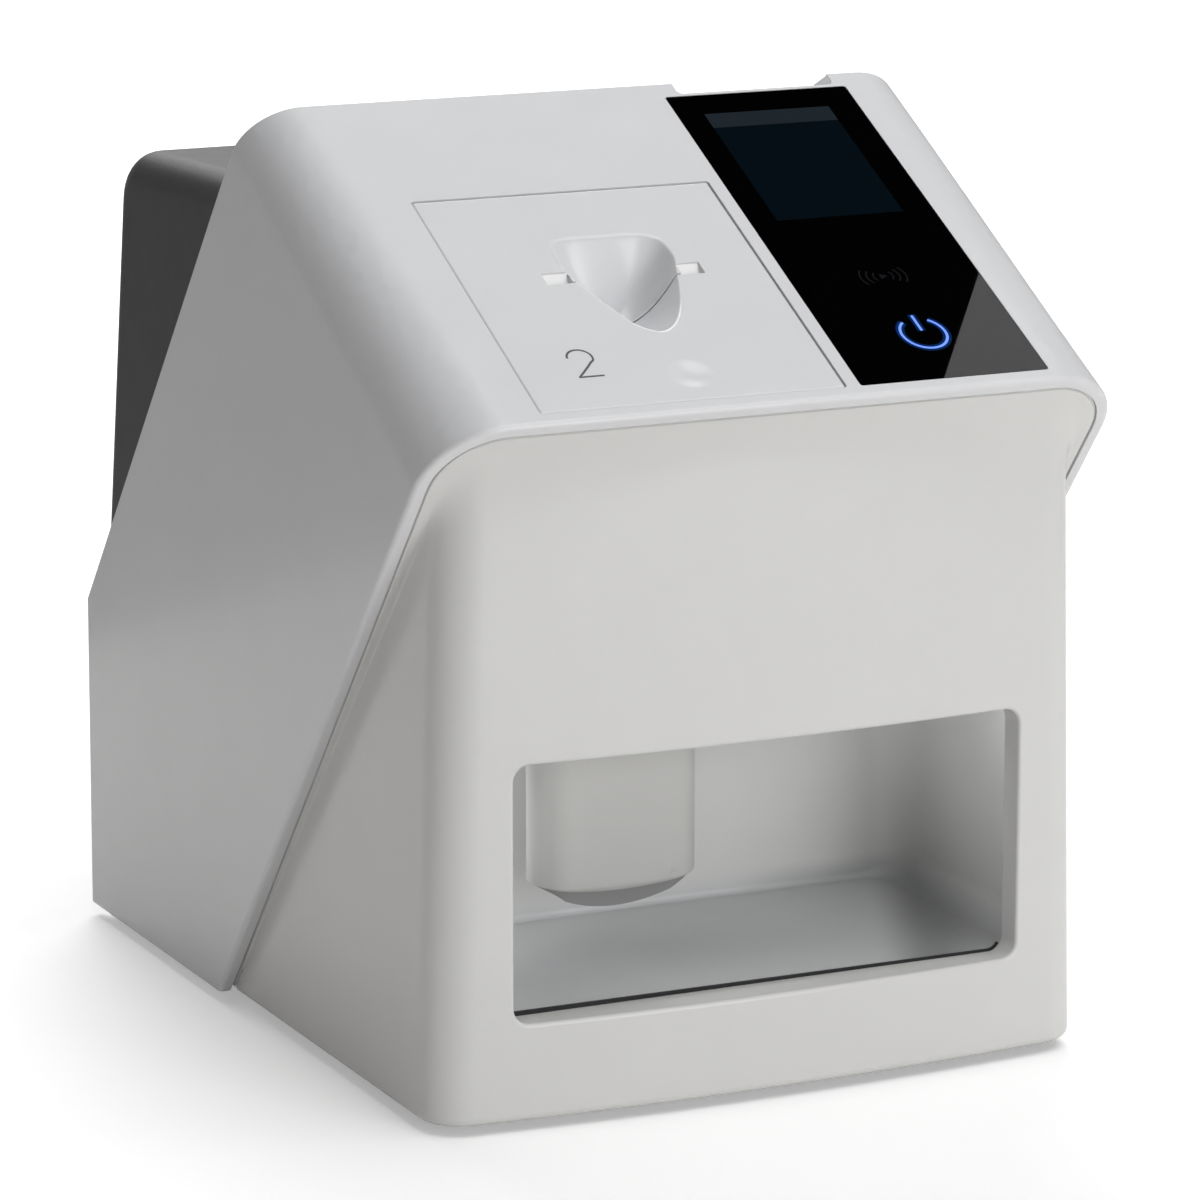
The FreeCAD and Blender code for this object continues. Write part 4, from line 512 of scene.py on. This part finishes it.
# ------------------------------------------------------------------ outlet chute
def build_chute():
    px_, py_, a, b = -25.5, -76.0, 27.6, 9.8
    r = 6.5
    K = 14
    S = 14

    def stadium(i):
        """Closed ring of the stadium, inset by i."""
        rr = max(b - i, 0.2)
        L = a - b
        out = []
        for k in range(K + 1):
            t = -math.pi / 2 + math.pi * k / K
            out.append((L + rr * math.cos(t), rr * math.sin(t)))
        for k in range(1, S):
            out.append((L - 2 * L * k / S, rr))
        for k in range(K + 1):
            t = math.pi / 2 + math.pi * k / K
            out.append((-L + rr * math.cos(t), rr * math.sin(t)))
        for k in range(1, S):
            out.append((-L + 2 * L * k / S, -rr))
        return out

    def bow(x):
        q = min(1.0, abs(x) / a)
        return 57.7 - 9.3 * (1 - q * q)

    rings = []
    full = stadium(0)
    for z in (117.2, 100.0, 85.0, 74.0):
        rings.append([(x, y, z) for x, y in full])
    rings.append([(x, y, bow(x) + 9.4) for x, y in full])
    for i, dz in ((0.0, 8.6), (0.12, 8.0), (0.5, 7.35), (1.1, 6.8), (2.2, 5.9), (3.5, 4.7), (4.8, 3.2), (5.9, 1.7), (6.6, 0.6)):
        ring_ = []
        for n in range(len(full)):
            share = 1 - 0.93 * min(1.0, abs(full[n][0]) / a) ** 2
            x, y = stadium(i * (0.12 + 0.88 * share))[n]
            ring_.append((x, y, bow(full[n][0]) + dz * share))
        rings.append(ring_)
    mouth = len(rings) - 1
    for inset, z in ((6.9, 0.15), (7.0, 1.6), (6.0, 1.8)):
        ring_ = []
        for n in range(len(full)):
            share = 1 - 0.93 * min(1.0, abs(full[n][0]) / a) ** 2
            x, y = stadium(inset * (0.12 + 0.88 * share))[n]
            ring_.append((x, y, bow(full[n][0]) + z))
        rings.append(ring_)
    rings.append([(x, y, 66.0) for n, (x, y) in enumerate(stadium(1.8))])
    rings.append([(x, y, 117.2) for n, (x, y) in enumerate(stadium(1.8))])
    n = len(full)
    verts, faces = [], []
    for rg in rings:
        verts += [Vector((px_ + x, py_ + y, z)) * MM for x, y, z in rg]
    m = len(rings)
    for i in range(m - 1):
        for k in range(n):
            j = (k + 1) % n
            faces.append((i * n + k, i * n + j, (i + 1) * n + j, (i + 1) * n + k))
    chute_white = surface("chute_white", (0.53, 0.53, 0.52), 0.30, grain=420, bump=0.02, tint=0.012, spread=0.03, coat=0.1, seed=36)
    o = piece("chute_nose", verts, faces, chute_white, "housing", 38, out=lambda c: Vector((0, c.y - py_ * MM, 0)))
    # painted shade: the faces below the rounded lower edge get a darker grey than the chute
    shade = surface("chute_underside_painted_shade", (0.34, 0.34, 0.34), 0.45, grain=420, bump=0.03, tint=0.02, seed=37)
    o.data.materials.append(shade)
    for p in o.data.polygons:
        zs = [o.data.vertices[i].co for i in p.vertices]
        c = sum(zs, Vector()) / len(zs)
        low = bow((c.x / MM - px_)) + 7.0 * (1 - 0.93 * min(1.0, abs(c.x / MM - px_) / a) ** 2)
        if c.z / MM < low:
            p.material_index = 1
    flange = slab("chute_flange", round_rect(px_ - 34, px_ + 34, py_ - 14, py_ + 14, 6.0), 117.2, 119.0, M["white_liner"], place=lambda x, y, z: Vector((x, y, z)) * MM,
                  holes=[[(px_ + x, py_ + y) for x, y in stadium(1.8)]])
    pipe_o = [(px_ + x, py_ + y) for x, y in stadium(0)]
    pipe_i = [(px_ + x, py_ + y) for x, y in stadium(1.8)]
    slab("chute_collar", pipe_o, 119.0, 124.0, M["white_liner"], place=lambda x, y, z: Vector((x, y, z)) * MM, holes=[pipe_i])
    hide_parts("outlet_chute")


build_chute()


# ------------------------------------------------------------------ output chamber
def chamber_skin_painted_shade(name, low, high, rough, seed):
    """White wall that turns into the grey of the floor, with painted shade: a soft dark zone on its right-hand part
    that fades out up the wall, and the wall painted darker on its left-hand part.
    """
    m = surface(name, high, rough, grain=700, bump=0.05, tint=0.015, spread=0.05, seed=seed)
    nt = m.node_tree
    bs = next(n for n in nt.nodes if n.type == "BSDF_PRINCIPLED")
    wall = bs.inputs["Base Color"].links[0].from_socket
    tc = nt.nodes.new("ShaderNodeTexCoord")
    sep = nt.nodes.new("ShaderNodeSeparateXYZ")
    nt.links.new(tc.outputs["Object"], sep.inputs[0])

    def span(src, a, b, lo_, hi_):
        r = nt.nodes.new("ShaderNodeMapRange")
        r.interpolation_type = "SMOOTHSTEP"
        for k, v in (("From Min", a), ("From Max", b), ("To Min", lo_), ("To Max", hi_)):
            r.inputs[k].default_value = v
        nt.links.new(src, r.inputs["Value"])
        return r.outputs[0]

    def calc(op, a, b):
        r = nt.nodes.new("ShaderNodeMath")
        r.operation = op
        for k, v in ((0, a), (1, b)):
            if isinstance(v, float):
                r.inputs[k].default_value = v
            else:
                nt.links.new(v, r.inputs[k])
        return r.outputs[0]

    s_ = calc("SUBTRACT", sep.outputs[0], calc("MULTIPLY", sep.outputs[1], 0.472))
    # painted shade: a diagonal dark band across the right-hand part of floor and wall
    fall = span(s_, 0.100, 0.120, 1.0, 0.44)
    rise = span(s_, 0.122, 0.148, 0.0, 0.46)
    painted_shade = calc("ADD", fall, rise)
    height = span(sep.outputs[2], 0.0332, 0.0420, 0.0, 1.0)
    fade = span(sep.outputs[2], 0.020, 0.110, 0.0, 1.0)
    # the painted dark band fades out up the wall
    painted_shade = calc("ADD", painted_shade, calc("MULTIPLY", fade, calc("SUBTRACT", 1.0, painted_shade)))
    # painted light and shade on the wall: darker on the left-hand part, a little lighter towards the right
    left = calc("SUBTRACT", span(s_, 0.040, 0.092, 0.84, 1.06), 1.0)
    painted_shade = calc("ADD", painted_shade, calc("MULTIPLY", height, left))
    base = nt.nodes.new("ShaderNodeMix")
    base.data_type = "RGBA"
    base.inputs[6].default_value = (*low, 1)
    nt.links.new(height, base.inputs[0])
    nt.links.new(wall, base.inputs[7])
    out = nt.nodes.new("ShaderNodeVectorMath")
    out.operation = "SCALE"
    nt.links.new(base.outputs[2], out.inputs[0])
    nt.links.new(painted_shade, out.inputs["Scale"])
    nt.links.new(out.outputs[0], bs.inputs["Base Color"])
    return m


def build_chamber():
    low, high = (0.595, 0.605, 0.615), (0.80, 0.80, 0.79)
    skin = chamber_skin_painted_shade("chamber_skin_painted_shade", low, high, 0.36, 6)
    NODES["output_chamber"].data.materials[0] = skin
    NODES["floor_pad"].data.materials[0] = skin
    H, back, r, z0 = 99.0, -33.3, 15.0, 33.0
    path = []                                        # x, y, inward normal, radius of the cove
    for k in range(9):
        path.append((H, -124.2 + (back - r + 124.2) * k / 8, -1.0, 0.0, 9.0))
    for k in range(1, 13):
        a = math.radians(90.0 * k / 12)
        path.append((H - r + r * math.cos(a), back - r + r * math.sin(a), -math.cos(a), -math.sin(a), 9.0 - 7.0 * k / 12))
    for k in range(1, 6):
        path.append(((H - r) * (1 - k / 5.5), back, 0.0, -1.0, 2.0))
    path = path + [(-x, y, -nx, ny, R) for x, y, nx, ny, R in reversed(path)]
    n, K = len(path), 9
    verts = []
    for x, y, nx, ny, R in path:
        for k in range(K + 1):
            t = math.radians(90.0 * k / K)
            o_ = 0.04 + R * (1 - math.cos(t))
            verts.append(Vector((x + nx * o_, y + ny * o_, z0 + 0.03 + R * (1 - math.sin(t)))) * MM)
    m = K + 1
    faces = [(i * m + k, (i + 1) * m + k, (i + 1) * m + k + 1, i * m + k + 1) for i in range(n - 1) for k in range(K)]
    piece("chamber_cove", verts, faces, skin, "housing", 60, out=lambda c: Vector((-c.x, -c.y - 0.08, 0.03)))


build_chamber()


# ------------------------------------------------------------------ sloped flank of the notch in the crest
def build_flank():
    verts = []
    for u in (0.4, 5.45):
        verts += [top(84.55, u, -0.12), top(84.55, u, -3.6), top(80.7, u, -3.6)]
    piece("notch_flank", verts, [(0, 1, 2), (3, 5, 4), (0, 2, 5, 3), (0, 3, 4, 1), (1, 4, 5, 2)], M["white_shell"], "housing", 30)


build_flank()


# ------------------------------------------------------------------ front fascia
def build_fascia():
    SL = Vector((173.9, -212.0)).normalized()       # (Y, Z) down along the slanted front
    LIP = (-146.8, 215.0)
    fy, crown, A0 = -132.0, 6.2, 109.75
    Rc = (A0 * A0 + crown * crown) / (2 * crown)
    Yo = fy - crown + Rc
    R = 14.0

    def half(z):
        return A0 - 0.025 * (z - 3)

    def arc_y(x):
        return Yo - math.sqrt(Rc * Rc - x * x)

    def fillet(z):
        a = half(z)
        cx_ = a - R
        cy_ = Yo - math.sqrt((Rc - R) ** 2 - cx_ * cx_)
        d = Vector((cx_, cy_ - Yo)).normalized()
        return cx_, cy_, math.atan2(-d.y, d.x)       # start angle, measured from +x towards the front

    def z_slant(y):
        return LIP[1] - (y - LIP[0]) * (212.0 / 173.9)

    # columns on one half: ("x", value) fixed, ("c", share of the corner), ("s", share of the side)
    wx, wz1, wz2, wr = 84.4, 33.0, 111.7, 5.0
    ox, oz1, oz2 = 89.5, 21.0, 124.0
    K = 8
    cxs, czs = [], []
    outer = []
    for k in range(K + 1):
        th = math.radians(90 - 90.0 * k / K)
        c0, c1 = wx - wr, wz2 - wr
        dx, dz = ox - c0, oz2 - c1
        tx = dz / math.tan(th) if math.tan(th) > 1e-6 else 1e9
        if tx <= dx + 1e-9:
            outer.append((c0 + tx, oz2, th))
        else:
            outer.append((ox, c1 + dx * math.tan(th), th))
    topx = [p[0] for p in outer if abs(p[1] - oz2) < 1e-6]
    sidez = [p[1] for p in outer if abs(p[0] - ox) < 1e-6 and p[1] < oz2 - 1e-6]
    if abs(topx[-1] - ox) > 1e-6:
        topx.append(ox)
    nx = 26
    base_x = [(wx - wr) * k / nx for k in range(nx + 1)]
    colx = base_x + [x for x in topx if x > wx - wr + 1e-6]
    # window corner at the bottom mirrors the one at the top
    zmid = (wz1 + wz2) / 2
    up_z = [z for z in sorted(sidez)]
    nz = 12
    mid_z = [wz1 + wr + (wz2 - wz1 - 2 * wr) * k / nz for k in range(nz + 1)]
    rowz = [2 * zmid - z for z in reversed(up_z) if z > wz2 - wr + 1e-6]
    low_out = 2 * zmid - oz2
    rowz = [low_out] + rowz + mid_z + [z for z in up_z if z > wz2 - wr + 1e-6] + [oz2]
    cols = [("x", x) for x in colx]
    xt = 95.2
    for k in range(9):
        cols.append(("c", k / 8))
    NS = 22
    for k in range(1, NS + 1):
        cols.append(("s", k / NS))
    zlow = [5.5, 10.0, 15.0]
    bottom = [(2.5, 3.0), (1.6, 3.2), (0.75, 3.85), (0.2, 4.7)]
    lower_rows = [z for z in zlow if z < rowz[0] - 1] + rowz
    NF, NB, NU = 10, 5, 7

    def half_in(z):
        return 110.2 - 0.0045 * (z - 3)

    def column(kind, v):
        """Points of one column from the bottom up to the seam; the bottom points are set in along the direction that is
        inwards.
        """
        if kind == "x":
            base = lambda z: (v, arc_y(v))
            inward = (0.0, 1.0)
        elif kind == "c":
            def base(z):
                cx_, cy_, a0 = fillet(z)
                a = a0 * (1 - v)
                return (cx_ + R * math.cos(a), cy_ - R * math.sin(a))
            a0 = fillet(3)[2] * (1 - v)
            inward = (-math.cos(a0), math.sin(a0))
        else:
            cy0 = fillet(180)[1]
            yy = cy0 + (25.5 - cy0) * v
            base = lambda z: (half(z), yy if v > 0.1 else fillet(z)[1] + (25.5 - fillet(z)[1]) * v)
            inward = (-1.0, 0.0)
        z = 190.0
        for _ in range(6):
            x, y = base(z)
            z = z_slant(y)
        zj = z
        J = Vector((*base(zj), zj))
        side_on = 1.0
        if kind == "x" and v <= 88.6:
            side_on = 0.0
            s = 4.8 / 0.9787
            B = Vector((v, LIP[0] + SL.x * s, LIP[1] + SL.y * s))
        elif kind in "xc":
            psi = math.radians(90) * (0.0 if kind == "x" else v)
            if kind == "x":
                psi = math.asin(min(1.0, (v - 88.9) / 19.8)) if v > 88.9 else 0.0
            else:
                p0 = math.asin((fillet(200)[0] + 0.6 - 88.9) / 19.8)
                psi = p0 + (math.pi / 2 - p0) * v
            side_on = math.sin(psi)
            s = (4.8 + 19.8 * (1 - math.cos(psi))) / 0.9787
            zB = LIP[1] + SL.y * s
            B = Vector((half_in(zB) - 19.8 + 19.8 * math.sin(psi), LIP[0] + SL.x * s, zB))
        else:
            s0 = (4.8 + 19.8) / 0.9787
            lift = (LIP[1] + SL.y * s0 - z_slant(fillet(180)[1])) * math.exp(-v * 9.0)
            zB = zj + lift
            B = Vector((half_in(zB), LIP[0] + (LIP[1] - zB) * 173.9 / 212.0, zB))
        up_dir = Vector((base(zj)[0] - base(zj - 1)[0], base(zj)[1] - base(zj - 1)[1], 1.0)).normalized()
        jb = B - J
        share = 0.0 if kind == "x" else (v if kind == "c" else 1.0)
        L = 15.5 * (1 - share) + 4.5 * share
        if kind == "s":
            L = 0.5 + 4.0 * math.exp(-v * 12)
        L = min(L, jb.length * 0.92)
        lv = min(L, zj - 6.0)
        pts = []
        for ins_, z in bottom:
            z_ = min(z, zj - 0.2) if kind == "s" and v > 0.97 else z
            x, y = base(5.5)
            pts.append(Vector((x + inward[0] * ins_, y + inward[1] * ins_, z_)))
        top_of_rows = zj - lv
        ref_top = 150.0
        rows = []
        if kind == "s":
            f = max(0.02, (top_of_rows - 5.5)) / (182.0 - 5.5)
            for z in lower_rows:
                rows.append(5.5 + (z - 5.5) * f)
            last = rows[-1]
        else:
            rows = list(lower_rows)
            last = rows[-1]
        for z in rows:
            pts.append(Vector((*base(z), z)))
        for k in range(1, NU + 1):
            z = last + (top_of_rows - last) * k / NU
            pts.append(Vector((*base(z), z)))
        p0, p2 = J - up_dir * lv, J + jb.normalized() * L if jb.length > 1e-6 else J
        for k in range(1, NF + 1):
            t = k / NF
            pts.append(p0 * (1 - t) ** 2 + J * 2 * t * (1 - t) + p2 * t * t)
        for k in range(1, NB + 1):
            pts.append(p2 + (B - p2) * k / NB)
        # turned-in rim of the seam
        nrm = Vector((0, -SL.y, SL.x)) * -1.0
        back = Vector((0, 0.7732, 0.6342))
        edge_on = math.sqrt(max(0.0, 1.0 - side_on * side_on))
        away = Vector((side_on, -SL.x * edge_on, -SL.y * edge_on))
        pts[-1] = pts[-1] - away * 0.35 + back * 0.05
        pts.append(pts[-1] + away * 0.22 + back * 0.12)
        pts.append(pts[-1] + away * 0.13 + back * 0.30)
        pts.append(pts[-1] + back * 0.40)
        pts.append(pts[-1] + away * 0.72)
        pts.append(pts[-1] + back * 2.2)
        return pts

    halfcols = [column(*c) for c in cols]
    rows = len(halfcols[0])
    full = [[Vector((-p.x, p.y, p.z)) for p in c] for c in reversed(halfcols[1:])] + halfcols
    nc = len(full)
    off = len(halfcols) - 1
    verts = [p * MM for c in full for p in c]
    r0 = len(bottom) + len(zlow[:]) if zlow[-1] < rowz[0] - 1 else len(bottom) + len([z for z in zlow if z < rowz[0] - 1])
    r1 = r0 + len(rowz) - 1
    xs = [c[0][0] for c in ()]
    ncx = len(colx)
    faces = []
    for c in range(nc - 1):
        ic, jc = abs(c - off), abs(c + 1 - off)
        for r in range(rows - 1):
            if max(ic, jc) <= ncx - 1 and r0 <= r < r1:
                continue
            faces.append((c * rows + r, (c + 1) * rows + r, (c + 1) * rows + r + 1, c * rows + r + 1))
    # window: loops from the outer rectangle to the reveal
    def yv(x, z):
        return arc_y(abs(x))

    bound = []                                       # (x, z, window point, outward direction)
    q = [(x, oz2, (x, wz2), (0, 1)) for x in base_x]
    for k in range(1, K + 1):
        x, z, th = outer[k]
        q.append((x, z, (wx - wr + wr * math.cos(th), wz2 - wr + wr * math.sin(th)), (math.cos(th), math.sin(th))))
    if not any(abs(p[0] - ox) < 1e-6 and abs(p[1] - oz2) < 1e-6 for p in q):
        for i in range(len(q) - 1):
            if abs(q[i][1] - oz2) < 1e-6 and abs(q[i + 1][0] - ox) < 1e-6:
                th = math.atan2(oz2 - (wz2 - wr), ox - (wx - wr))
                q.insert(i + 1, (ox, oz2, (wx - wr + wr * math.cos(th), wz2 - wr + wr * math.sin(th)), (math.cos(th), math.sin(th))))
                break
    for z in reversed(mid_z[:-1]):
        if z >= zmid - 1e-6:
            q.append((ox, z, (wx, z), (1, 0)))
    quarter = q
    up_right = quarter
    low_right = [(x, 2 * zmid - z, (w_[0], 2 * zmid - w_[1]), (d[0], -d[1])) for x, z, w_, d in reversed(quarter)]
    if abs(low_right[0][1] - up_right[-1][1]) < 1e-6:
        low_right = low_right[1:]
    right = up_right + low_right
    left = [(-x, z, (-w_[0], w_[1]), (-d[0], d[1])) for x, z, w_, d in reversed(right)][1:-1]
    bound = right + left
    steps = [(1.3, 0.0), (0.85, 0.05), (0.5, 0.22), (0.2, 0.55), (0.05, 0.95), (0.0, 1.4)]
    nb = len(bound)
    start = len(verts)
    rings = []
    for f in (0.0, 0.25, 0.5, 0.75):
        rg = []
        for x, z, w_, d in bound:
            wxp, wzp = w_[0] + d[0] * 1.3, w_[1] + d[1] * 1.3
            X, Z = x + (wxp - x) * f, z + (wzp - z) * f
            rg.append(Vector((X, yv(X, Z), Z)))
        rings.append(rg)
    for o_, dep in steps:
        rings.append([Vector((w_[0] + d[0] * o_, yv(w_[0] + d[0] * o_, 0) + dep, w_[1] + d[1] * o_)) for x, z, w_, d in bound])
    rings.append([Vector((w_[0], -128.5, w_[1])) for x, z, w_, d in bound])
    rings.append([Vector((w_[0], -125.6, w_[1])) for x, z, w_, d in bound])
    rings.append([Vector((w_[0] + d[0] * 2.2, -125.5, w_[1] + d[1] * 2.2)) for x, z, w_, d in bound])
    for rg in rings:
        verts += [p * MM for p in rg]
    for i in range(len(rings) - 1):
        for k in range(nb):
            j = (k + 1) % nb
            faces.append((start + i * nb + k, start + i * nb + j, start + (i + 1) * nb + j, start + (i + 1) * nb + k))
    o = piece("fascia_shell", verts, faces, M["white_front"], "housing", 32, out=None, weld=0.00002)
    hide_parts("front_fascia")
    weighted(o)
    return o


build_fascia()

# ------------------------------------------------------------------ black strip behind the window's sill: painted shadow of the gap there
def build_sill_gap_shadow():
    r, w_ = 4.4, 84.0
    line = [(-w_ + 0.4, 32.95)]
    for k in range(1, 40):
        line.append((-w_ + (w_ - r + w_) * k / 40, 32.95))
    for k in range(9):
        a = math.radians(-90 + 62 * k / 8)
        line.append((w_ - r + r * math.cos(a), 32.95 + r + r * math.sin(a)))
    verts, faces = [], []
    n = len(line)
    for y, dz in ((-125.4, 0.0), (-124.5, 0.0)):
        verts += [Vector((x, y, z)) * MM for x, z in line]
    for y in (-124.5, -125.4):
        for i, (x, z) in enumerate(line):
            a, b = line[max(i - 1, 0)], line[min(i + 1, n - 1)]
            d = Vector((b[0] - a[0], b[1] - a[1])).normalized()
            t_ = 1.35 - 0.75 * i / n
            verts.append(Vector((x - d.y * t_, y, z + d.x * t_)) * MM)
    for r_ in range(4):
        q = (r_ + 1) % 4
        for i in range(n - 1):
            faces.append((r_ * n + i, r_ * n + i + 1, q * n + i + 1, q * n + i))
    faces.append((0, n, 2 * n, 3 * n))
    faces.append((n - 1, 2 * n - 1, 3 * n - 1, 4 * n - 1))
    # painted shadow: this black strip stands for the shade in the gap behind the sill, thicker towards the left
    black = surface("sill_gap_painted_shadow", (0.010, 0.010, 0.011), 0.6, grain=700, bump=0.1, tint=0.1, seed=41)
    piece("sill_gap_shadow_strip", verts, faces, black, "housing", 40)


build_sill_gap_shadow()


# ------------------------------------------------------------------ stage, light, camera
def stage_floor(name, z, glow_, warm):
    bpy.ops.mesh.primitive_plane_add(size=24.0, location=(0, 0.6, z))
    f = bpy.context.object
    f.name = name
    paper = surface(name + "_paper", (0.88, 0.88 - 0.5 * warm, 0.88 - warm), 0.6, grain=300, bump=0.02, tint=0.006, seed=31)
    bs = next(n for n in paper.node_tree.nodes if n.type == "BSDF_PRINCIPLED")
    bs.inputs["Emission Color"].default_value = (1, 1 - 0.5 * warm, 1 - warm, 1)
    bs.inputs["Emission Strength"].default_value = glow_
    f.data.materials.append(paper)
    return f


# the sheet that is looked at is a little brighter than the one that lights the object
seen = stage_floor("studio_floor", -0.0002, 0.34, 0.0)
seen.visible_diffuse = seen.visible_glossy = seen.visible_shadow = False
under = stage_floor("studio_floor_under", -0.0006, 0.10, 0.03)
under.visible_camera = False
w = bpy.data.worlds.new("studio")
scene.world = w
w.use_nodes = True
wt = w.node_tree
wtc = wt.nodes.new("ShaderNodeTexCoord")
wsep = wt.nodes.new("ShaderNodeSeparateXYZ")
wramp = wt.nodes.new("ShaderNodeValToRGB")
wt.links.new(wtc.outputs["Generated"], wsep.inputs[0])
wt.links.new(wsep.outputs[2], wramp.inputs[0])
wramp.color_ramp.elements[0].position, wramp.color_ramp.elements[0].color = 0.0, (0.64, 0.64, 0.63, 1)
wramp.color_ramp.elements[1].position, wramp.color_ramp.elements[1].color = 0.62, (0.004, 0.004, 0.005, 1)
e = wramp.color_ramp.elements.new(0.30)
e.color = (0.515, 0.515, 0.51, 1)
wt.links.new(wramp.outputs[0], wt.nodes["Background"].inputs[0])
wt.nodes["Background"].inputs[1].default_value = 0.44


def area(name, loc, aim, size, power, color=(1, 1, 1), size_y=None):
    d = bpy.data.lights.new(name, "AREA")
    d.energy, d.color = power, color
    d.shape = "RECTANGLE"
    d.size, d.size_y = size, size_y or size
    o = bpy.data.objects.new(name, d)
    scene.collection.objects.link(o)
    o.location = loc
    o.rotation_euler = (Vector(aim) - Vector(loc)).to_track_quat("-Z", "Y").to_euler()
    return o


area("over", (0.25, -0.45, 1.5), (0, -0.05, 0.15), 1.3, 14.2)
area("front", (0.50, -2.0, 0.36), (0, 0, 0.12), 1.0, 16.6)
area("behind", (0.5, 2.1, 1.7), (0.55, 2.0, 0), 2.0, 60.0)
inner = area("chamber_fill", (0.062, -0.112, 0.111), (0.060, -0.06, 0.045), 0.07, 0.0074, size_y=0.02)
inner.visible_camera = False
side = area("chamber_side", (-0.094, -0.100, 0.085), (-0.05, -0.060, 0.075), 0.02, 0.0060, size_y=0.05)
side.visible_camera = side.visible_glossy = False
rear = area("chamber_rear", (-0.080, -0.060, 0.078), (-0.037, -0.033, 0.068), 0.015, 0.011, size_y=0.05)
rear.visible_camera = rear.visible_glossy = False


def card():
    """A pale card above, seen only as the reflection in the corner of the glass."""
    m, nt, bs = nodes_of("card_white")
    nt.links.new(mixed(nt, ranged(nt, noise(nt, 4.0, 2.0), 0, 1), (0.80, 0.80, 0.82), (0.86, 0.86, 0.88)), bs.inputs["Base Color"])
    bs.inputs["Emission Color"].default_value = (0.95, 0.96, 1.0, 1)
    bs.inputs["Emission Strength"].default_value = 0.39
    bs.inputs["Roughness"].default_value = 0.9
    me = bpy.data.meshes.new("card")
    me.from_pydata([(0.7151, 0.3948, 1.2259), (0.6567, 0.2643, 1.3168), (0.8038, 0.2184, 1.2462), (0.861, 0.3487, 1.1561)], [], [(0, 1, 2, 3)])
    me.materials.append(m)
    o = bpy.data.objects.new("card", me)
    scene.collection.objects.link(o)


card()


def dark_sheet():
    """A grey sheet on the table behind the left side, seen only as a soft reflection in that side."""
    m = surface("sheet_grey", (0.27, 0.275, 0.265), 0.9, grain=60, bump=0.02, tint=0.05, seed=43)
    me = bpy.data.meshes.new("sheet")
    me.from_pydata([(-0.10, 0.431, 0.0004), (-1.287, 1.18, 0.0004), (-1.287, 4.0, 0.0004), (-0.10, 4.0, 0.0004)], [], [(0, 3, 2, 1)])
    me.materials.append(m)
    o = bpy.data.objects.new("sheet", me)
    scene.collection.objects.link(o)
    o.visible_camera = False
    o.visible_diffuse = False
    o.visible_shadow = False


dark_sheet()

cam = bpy.data.cameras.new("camera")
cam_o = bpy.data.objects.new("camera", cam)
scene.collection.objects.link(cam_o)
cam_o.location = (-0.73705, -1.57588, 0.51995)
cam_o.rotation_euler = Euler((math.radians(90 - 12.759), 0, math.radians(-25.268)), "XYZ")
cam.lens, cam.sensor_width, cam.sensor_fit = 168.12, 36.0, "HORIZONTAL"
cam.clip_start, cam.clip_end = 0.05, 30.0
scene.camera = cam_o
scene.view_settings.view_transform = "Standard"
scene.view_settings.look = "None"
